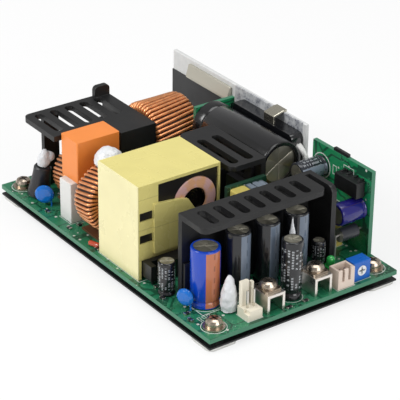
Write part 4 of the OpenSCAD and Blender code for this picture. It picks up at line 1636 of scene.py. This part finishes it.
def coil_wrap() -> CoilTape:
    """Returns the coil's finish, centred on the coil."""
    low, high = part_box("transformer_coil")
    return replace(COIL_WRAP, centre=((low.y + high.y) / 2, (low.z + high.z) / 2))


@dataclass
class MainTransformer(SubAssembly):
    """The taped main transformer with its coil and pin base."""

    finishes: dict[str, Finish] = field(default_factory=lambda: {
        "transformer_core": FERRITE, "transformer_tape": YELLOW_TAPE,
        "transformer_coil": coil_wrap(), "transformer_base": BLACK_PLASTIC})
    edges: dict[str, float] = field(default_factory=lambda: {
        "transformer_tape": 0.0004, "transformer_coil": 0.0005, "transformer_base": 0.0002})


@dataclass
class HeatSinks(SubAssembly):
    """The three black slotted heat sinks and what is fixed to them."""

    finishes: dict[str, Finish] = field(default_factory=lambda: {
        "output_heat_sink": BLACK_SINK, "middle_heat_sink": BLACK_SINK,
        "input_heat_sink": BLACK_SINK, "bridge_rectifier": EPOXY, "switching_transistors": EPOXY,
        "output_rectifiers": EPOXY})
    edges: dict[str, float] = field(default_factory=lambda: {
        "output_heat_sink": 0.0003, "middle_heat_sink": 0.0003, "input_heat_sink": 0.0003})


@dataclass
class RearPlate(SubAssembly):
    """The bare plate at the rear edge with its film, cover, clamp and clip.

    Attributes:
        sleeve: Diameter of the sleeve on a lead, in metres.
    """

    finishes: dict[str, Finish] = field(default_factory=lambda: {
        "rear_heat_plate": BARE_PLATE, "rear_insulating_film": BLACK_FILM,
        "rear_clamp_bar": CLAMP_BEIGE, "device_cover": GLOSS_FILM, "spring_clip": CLIP_STEEL,
        "rear_transistors": EPOXY})
    edges: dict[str, float] = field(default_factory=lambda: {
        "rear_heat_plate": 0.0002, "device_cover": 0.0006, "rear_clamp_bar": 0.0003,
        "spring_clip": 0.0002})
    sleeve: float = 1.6 * MM

    def build(self) -> list[bpy.types.Object]:
        """Models the white sleeves on the leads that leave the cover.

        Returns:
            The sleeves.
        """
        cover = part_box("device_cover")[1]
        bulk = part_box("upper_bulk_capacitor")[1]
        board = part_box("circuit_board")[1].z
        sleeves = []
        for number in range(2):
            start = Vector((cover.x - 1.2 * MM, cover.y - (2.2 - 1.1 * number) * MM, 0.0318))
            aside = Vector((bulk.x - 0.9 * MM + 0.9 * MM * number, 0.0343, 0.0306))
            bend = Vector((bulk.x + (0.6 + 0.9 * number) * MM, 0.0337 - 0.0004 * number, 0.0268))
            low = Vector((bulk.x + (0.1 + 1.2 * number) * MM, 0.0318, 0.0205))
            foot = Vector((bulk.x + (0.3 + 1.2 * number) * MM, 0.0312, board + 0.2 * MM))
            sleeves.append(bent_rod([start, aside, bend, low, foot], self.sleeve))
        return [finish_piece(join(sleeves, "lead_sleeves"), "lead_sleeves", WHITE_BOX)]


@dataclass
class Chokes(SubAssembly):
    """The power choke and the two line chokes."""

    finishes: dict[str, Finish] = field(default_factory=lambda: {
        "power_choke_core": CORE_COAT, "line_choke_a_core": CORE_COAT,
        "line_choke_b_core": CORE_COAT, "choke_bases": BROWN_SEAT})

    def build(self) -> list[bpy.types.Object]:
        """Winds the three chokes.

        Returns:
            The windings.
        """
        rings = [
            RingWinding("power_choke_winding", Axis.ALONG_Y, 44, 1.22 * MM, 9 * MM, 7.0),
            RingWinding("line_choke_a_winding", Axis.ALONG_X, 36, 1.02 * MM, 8 * MM, 10.0),
            RingWinding("line_choke_b_winding", Axis.ALONG_X, 42, 1.05 * MM, 8 * MM, 10.0),
        ]
        return [ring.build() for ring in rings]


@dataclass
class Capacitors(SubAssembly):
    """The electrolytic capacitors, their small board, and the film and disc capacitors.

    Attributes:
        facing: Turn that brings a can's stripe to the output side, in degrees.
        deep_lip: How far the sleeve of a can along X stands past its top, in metres.
    """

    finishes: dict[str, Finish] = field(default_factory=lambda: {
        "capacitor_board": CARD_MASK.for_node("capacitor_board", 0),
        "line_film_capacitor": ORANGE_BOX, "white_film_capacitor": WHITE_BOX,
        "disc_capacitors": DISC_BLUE, "sleeved_fuse": FUSE_SLEEVE, "silicone_blobs": SILICONE})
    edges: dict[str, float] = field(default_factory=lambda: {
        "line_film_capacitor": 0.0003, "white_film_capacitor": 0.0004, "capacitor_board": 0.0001})
    facing: float = 180.5
    deep_lip: float = 1.3 * MM

    def dress(self) -> None:
        """Gives the nodes their finishes and the paste its uneven skin."""
        super().dress()
        roughen(self.nodes, "silicone_blobs", 0.003, 0.0009)

    def islands(self, name: str) -> list[tuple[Vector, Vector]]:
        """Finds the box of each separate upright can in a node.

        Args:
            name: The node's name.

        Returns:
            The lowest and highest corner of each can, in order of Y.
        """
        points = sorted((v.co.copy() for v in self.nodes[name].data.vertices), key=lambda co: co.y)
        groups: list[list[Vector]] = [[points[0]]]
        for place in points[1:]:
            if place.y - groups[-1][-1].y > 0.0012:
                groups.append([])
            groups[-1].append(place)
        boxes = []
        for members in groups:
            low = Vector(min(p[i] for p in members) for i in range(3))
            high = Vector(max(p[i] for p in members) for i in range(3))
            boxes.append((low, high))
        return boxes

    def upright(self, node: str, sleeve: Finish, slot: str, spin: float) -> list[bpy.types.Object]:
        """Builds the upright cans of a node.

        Args:
            node: The CAD node that they stand for.
            sleeve: Their finish.
            slot: The record's material slot.
            spin: Turn of the stripe, in degrees.

        Returns:
            The pieces.
        """
        made = []
        for number, (low, high) in enumerate(self.islands(node)):
            foot = Vector(((low.x + high.x) / 2, (low.y + high.y) / 2, low.z))
            can = Can(f"{node}_{number + 1}", foot, high.x - low.x, high.z - low.z, sleeve, slot,
                      spin=spin)
            made += can.build([node])
        return made

    def lying(self, node: str, axis: Axis, sleeve: Finish, slot: str,
              spin: float) -> list[bpy.types.Object]:
        """Builds a can that lies down.

        Args:
            node: The CAD node that it stands for.
            axis: The way it points.
            sleeve: Its finish.
            slot: The record's material slot.
            spin: Turn of the stripe, in degrees.

        Returns:
            The pieces.
        """
        low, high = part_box(node)
        middle = (low + high) / 2
        if axis is Axis.ALONG_X:
            foot, height, lip = Vector((low.x, middle.y, middle.z)), high.x - low.x, self.deep_lip
        else:
            foot, height, lip = Vector((middle.x, high.y, middle.z)), high.y - low.y, Can.lip
        can = Can(node + "_can", foot, high.z - low.z, height, sleeve, slot, axis, spin, lip)
        return can.build([node])

    def build(self) -> list[bpy.types.Object]:
        """Builds every electrolytic capacitor.

        Returns:
            The pieces.
        """
        black = "capacitor_black"
        made = self.upright("blue_output_capacitor", SLEEVE_BLUE, "capacitor_blue", self.facing)
        made += self.upright("tall_output_capacitors", SLEEVE_BLACK, black, self.facing + 8)
        made += self.upright("slim_output_capacitor", SLEEVE_PRINTED, black, self.facing + 90)
        made += self.upright("small_electrolytics", SLEEVE_PRINTED, black, self.facing + 60)
        for node in ("upper_bulk_capacitor", "lower_bulk_capacitor"):
            made += self.lying(node, Axis.ALONG_X, SLEEVE_PLAIN, black, 0)
        made += self.lying("daughter_small_capacitor", Axis.AGAINST_Y, SLEEVE_GREY,
                           "capacitor_grey", self.facing)
        made += self.lying("daughter_blue_capacitor", Axis.AGAINST_Y, SLEEVE_VIOLET,
                           "capacitor_violet", 60)
        return made


@dataclass
class OutputEdge(SubAssembly):
    """Terminals, headers, indicator and trimmer along the output edge."""

    finishes: dict[str, Finish] = field(default_factory=lambda: {
        "fan_header": HEADER_IVORY, "fan_header_pins": PIN_METAL, "signal_header": HEADER_BEIGE,
        "signal_header_pins": PIN_METAL, "output_terminals": TERMINAL_METAL,
        "terminal_screws": SCREW_STEEL,
        "status_led": leaded(LED_GREEN, "status_led", 2.5 * MM, 0.0), "trimmer_body": TRIMMER_BLUE,
        "trimmer_rotor": ROTOR_WHITE, "input_header": HEADER_IVORY})
    edges: dict[str, float] = field(default_factory=lambda: {
        "fan_header": 0.00015, "signal_header": 0.00012, "output_terminals": 0.0003,
        "trimmer_body": 0.0002, "input_header": 0.00015})

    def build(self) -> list[bpy.types.Object]:
        """Models painted shade in the recesses of the terminal screws and the adjuster.

        Returns:
            The pieces of painted shade.
        """
        # Painted shade: a thin dark cross at the floor of the adjuster's slot stands in for the
        # shade in it.
        low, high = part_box("trimmer_rotor")
        middle = Vector((high.x - 0.55 * MM, (low.y + high.y) / 2, (low.z + high.z) / 2))
        reach, width = 0.7 * (high.y - low.y), 0.56 * MM
        cross = [block(middle, (0.1 * MM, reach, width), 0.02 * MM),
                 block(middle, (0.1 * MM, width, reach), 0.02 * MM)]
        return [screw_recess_shade("terminal_screws", self.nodes, TERMINAL_HEAD),
                finish_piece(join(cross, "adjuster_cross_shade"), "adjuster_cross_shade", SHADOW_METAL,
                             body=ADJUSTER)]


@dataclass
class SmallBoards(SubAssembly):
    """The daughter board and the control card with what they carry.

    Attributes:
        frames: X and Z of the middle, width and height of each printed frame, in millimetres.
        chips: X and Z of each small flat part, in millimetres.
        connector: Size of the connector on the daughter board's top edge, in millimetres.
        connector_x: X of the connector's middle, in millimetres.
    """

    finishes: dict[str, Finish] = field(default_factory=lambda: {
        "daughter_board": CARD_MASK.for_node("daughter_board", 1), "isolation_block": BLACK_PLASTIC,
        "axial_diode": leaded(DIODE_BLACK, "axial_diode", 1.8 * MM, 2.4 * MM),
        "auxiliary_transformer": COIL_YELLOW,
        "control_card": SHADED_MASK.for_node("control_card", 0), "drive_transformer": COIL_YELLOW,
        "control_card_parts": CARD_PARTS})
    edges: dict[str, float] = field(default_factory=lambda: {
        "isolation_block": 0.0002, "drive_transformer": 0.0004, "auxiliary_transformer": 0.0004})
    frames: tuple[tuple[float, float, float, float], ...] = (
        (31.4, 29.0, 2.0, 3.4), (38.6, 31.6, 5.4, 3.0), (33.6, 17.6, 3.2, 2.0))
    chips: tuple[tuple[float, float], ...] = (
        (37.4, 31.6), (39.9, 31.6), (33.6, 17.6), (30.0, 20.8), (44.8, 31.0), (31.2, 14.0))
    connector: tuple[float, float, float] = (7.4, 1.2, 1.1)
    connector_x: float = 33.8

    def build(self) -> list[bpy.types.Object]:
        """Models the outlines, the small parts and the connector on the daughter board.

        Returns:
            The pieces.
        """
        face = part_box("daughter_board")[0].y
        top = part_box("daughter_board")[1].z
        low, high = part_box("daughter_small_capacitor")
        ring = (high.x - low.x + 1.7 * MM,) * 2
        marks = [stand(frame_outline(Vector(), ring, 0.4 * MM, RING_SIDES),
                       Vector(((low.x + high.x) / 2, face, (low.z + high.z) / 2)))]
        for x, z, width, height in self.frames:
            marks.append(stand(frame_outline(Vector(), (width * MM, height * MM), 0.26 * MM),
                               Vector((x * MM, face, z * MM))))
        size = (1.9 * MM, 0.6 * MM, 1.2 * MM)
        chips = [block(Vector((x * MM, face - size[1] / 2, z * MM)), size, 0.06 * MM)
                 for x, z in self.chips]
        length, depth, height = (side * MM for side in self.connector)
        row = block(Vector((self.connector_x * MM, face + 0.85 * MM, top + height / 2)),
                    (length, depth, height), 0.1 * MM)
        return [finish_piece(join(marks, "daughter_outlines"), "daughter_outlines", SILK_WHITE),
                finish_piece(join(chips, "daughter_chips"), "daughter_chips", CHIP_BLACK),
                finish_piece(row, "daughter_connector", BLACK_PLASTIC)]


@dataclass
class Studio:
    """Camera, lamps, floor and surroundings.

    Attributes:
        azimuth: Camera's turn round the object in degrees, 0 looking along +Y.
        elevation: Camera's height above the horizon in degrees.
        roll: Camera's turn about its own axis in degrees.
        distance: Distance from the aimed point, in metres.
        aim: The point aimed at before the sideways and upward shift.
        right: Sideways shift of the camera in metres.
        up: Upward shift of the camera in metres.
        lens: Focal length in millimetres on a 36 mm sensor.
    """

    azimuth: float = 54.106
    elevation: float = 27.832
    roll: float = 0.632
    distance: float = 0.64267
    aim: tuple[float, float, float] = (0.0, 0.0, 0.0049)
    right: float = 0.002855
    up: float = 0.008833
    lens: float = 168.2

    def camera(self) -> None:
        """Places the camera."""
        turn, rise = math.radians(self.azimuth), math.radians(self.elevation)
        back = Vector((math.sin(turn) * math.cos(rise), -math.cos(turn) * math.cos(rise),
                       math.sin(rise)))
        side = (-back).cross(Vector((0, 0, 1))).normalized()
        above = side.cross(-back)
        place = Vector(self.aim) + back * self.distance + side * self.right + above * self.up
        tilt = math.radians(self.roll)
        x_axis = side * math.cos(tilt) + above * math.sin(tilt)
        y_axis = above * math.cos(tilt) - side * math.sin(tilt)
        data = bpy.data.cameras.new("camera")
        data.lens = self.lens
        data.sensor_width = 36.0
        data.clip_start = 0.01
        camera = bpy.data.objects.new("camera", data)
        bpy.context.scene.collection.objects.link(camera)
        basis = Matrix((x_axis, y_axis, back)).transposed().to_4x4()
        basis.translation = place
        camera.matrix_world = basis
        bpy.context.scene.camera = camera

    def lamp(self, name: str, place: Sequence[float], size: float, power: float) -> None:
        """Adds a square soft lamp that faces the object.

        Args:
            name: The lamp's name.
            place: Where it stands.
            size: Length of its side.
            power: Its power in watts.
        """
        data = bpy.data.lights.new(name, "AREA")
        data.shape = "SQUARE"
        data.size = size
        data.energy = power
        lamp = bpy.data.objects.new(name, data)
        bpy.context.scene.collection.objects.link(lamp)
        lamp.location = place
        aim = Vector((0, 0, 0.015)) - Vector(place)
        lamp.rotation_euler = aim.to_track_quat("-Z", "Y").to_euler()

    def surroundings(self) -> None:
        """Makes an even pale world that is white to the camera and through glass."""
        world = bpy.data.worlds.new("studio")
        bpy.context.scene.world = world
        world.use_nodes = True
        tree = Tree(world.node_tree)
        path = tree.add("LightPath")
        seen = tree.calc("MAXIMUM", path.outputs["Is Camera Ray"],
                         path.outputs["Is Transmission Ray"])
        strength = tree.span(seen, 0.0, 1.0, 0.42, 1.0)
        back = tree.add("Background", Color=(1.0, 1.0, 1.0), Strength=strength)
        output = tree.tree.nodes.new("ShaderNodeOutputWorld")
        tree.tree.links.new(back.outputs[0], output.inputs["Surface"])

    def floor(self) -> None:
        """Adds the pale floor, which keeps a soft shadow."""
        rest_selection()
        bpy.ops.mesh.primitive_plane_add(size=6.0, location=(0, 0, -0.00005))
        floor = bpy.context.object
        floor.name = "floor"
        material = bpy.data.materials.new("floor_paper")
        material.use_nodes = True
        tree = Tree(material.node_tree)
        diffuse = tree.add("BsdfDiffuse", Color=(0.86, 0.86, 0.86))
        glow = tree.add("Emission", Color=(1.0, 1.0, 1.0), Strength=1.0)
        path = tree.add("LightPath")
        share = tree.calc("MULTIPLY", path.outputs["Is Camera Ray"], 0.72)
        blend = tree.add("MixShader")
        tree.feed(blend, 0, share)
        tree.feed(blend, 1, diffuse.outputs[0])
        tree.feed(blend, 2, glow.outputs[0])
        output = tree.tree.nodes.new("ShaderNodeOutputMaterial")
        tree.tree.links.new(blend.outputs[0], output.inputs["Surface"])
        floor.data.materials.append(material)

    def build(self) -> None:
        """Sets up the whole studio."""
        self.camera()
        self.surroundings()
        self.floor()
        self.lamp("key", (-0.25, -0.9, 0.75), 0.5, 8.0)
        self.lamp("top", (0.1, 0.1, 1.1), 0.7, 4.6)
        self.lamp("side", (0.95, 0.1, 0.4), 0.5, 3.0)
        bpy.context.scene.view_settings.view_transform = "Standard"


def main() -> None:
    """Builds the power supply's looks round the frame."""
    logging.basicConfig(level=logging.INFO, format="%(message)s")
    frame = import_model()
    nodes = frame["nodes"]
    Studio().build()
    parts: Iterable[SubAssembly] = (
        BoardStack(nodes), MainTransformer(nodes), HeatSinks(nodes), RearPlate(nodes),
        Chokes(nodes), Capacitors(nodes), OutputEdge(nodes), SmallBoards(nodes))
    for part in parts:
        part.dress()
        for piece in part.build():
            LOG.info("%s: %s, %d faces", type(part).__name__, piece.name, len(piece.data.polygons))
    rest_selection()


if __name__ == "__main__":
    main()
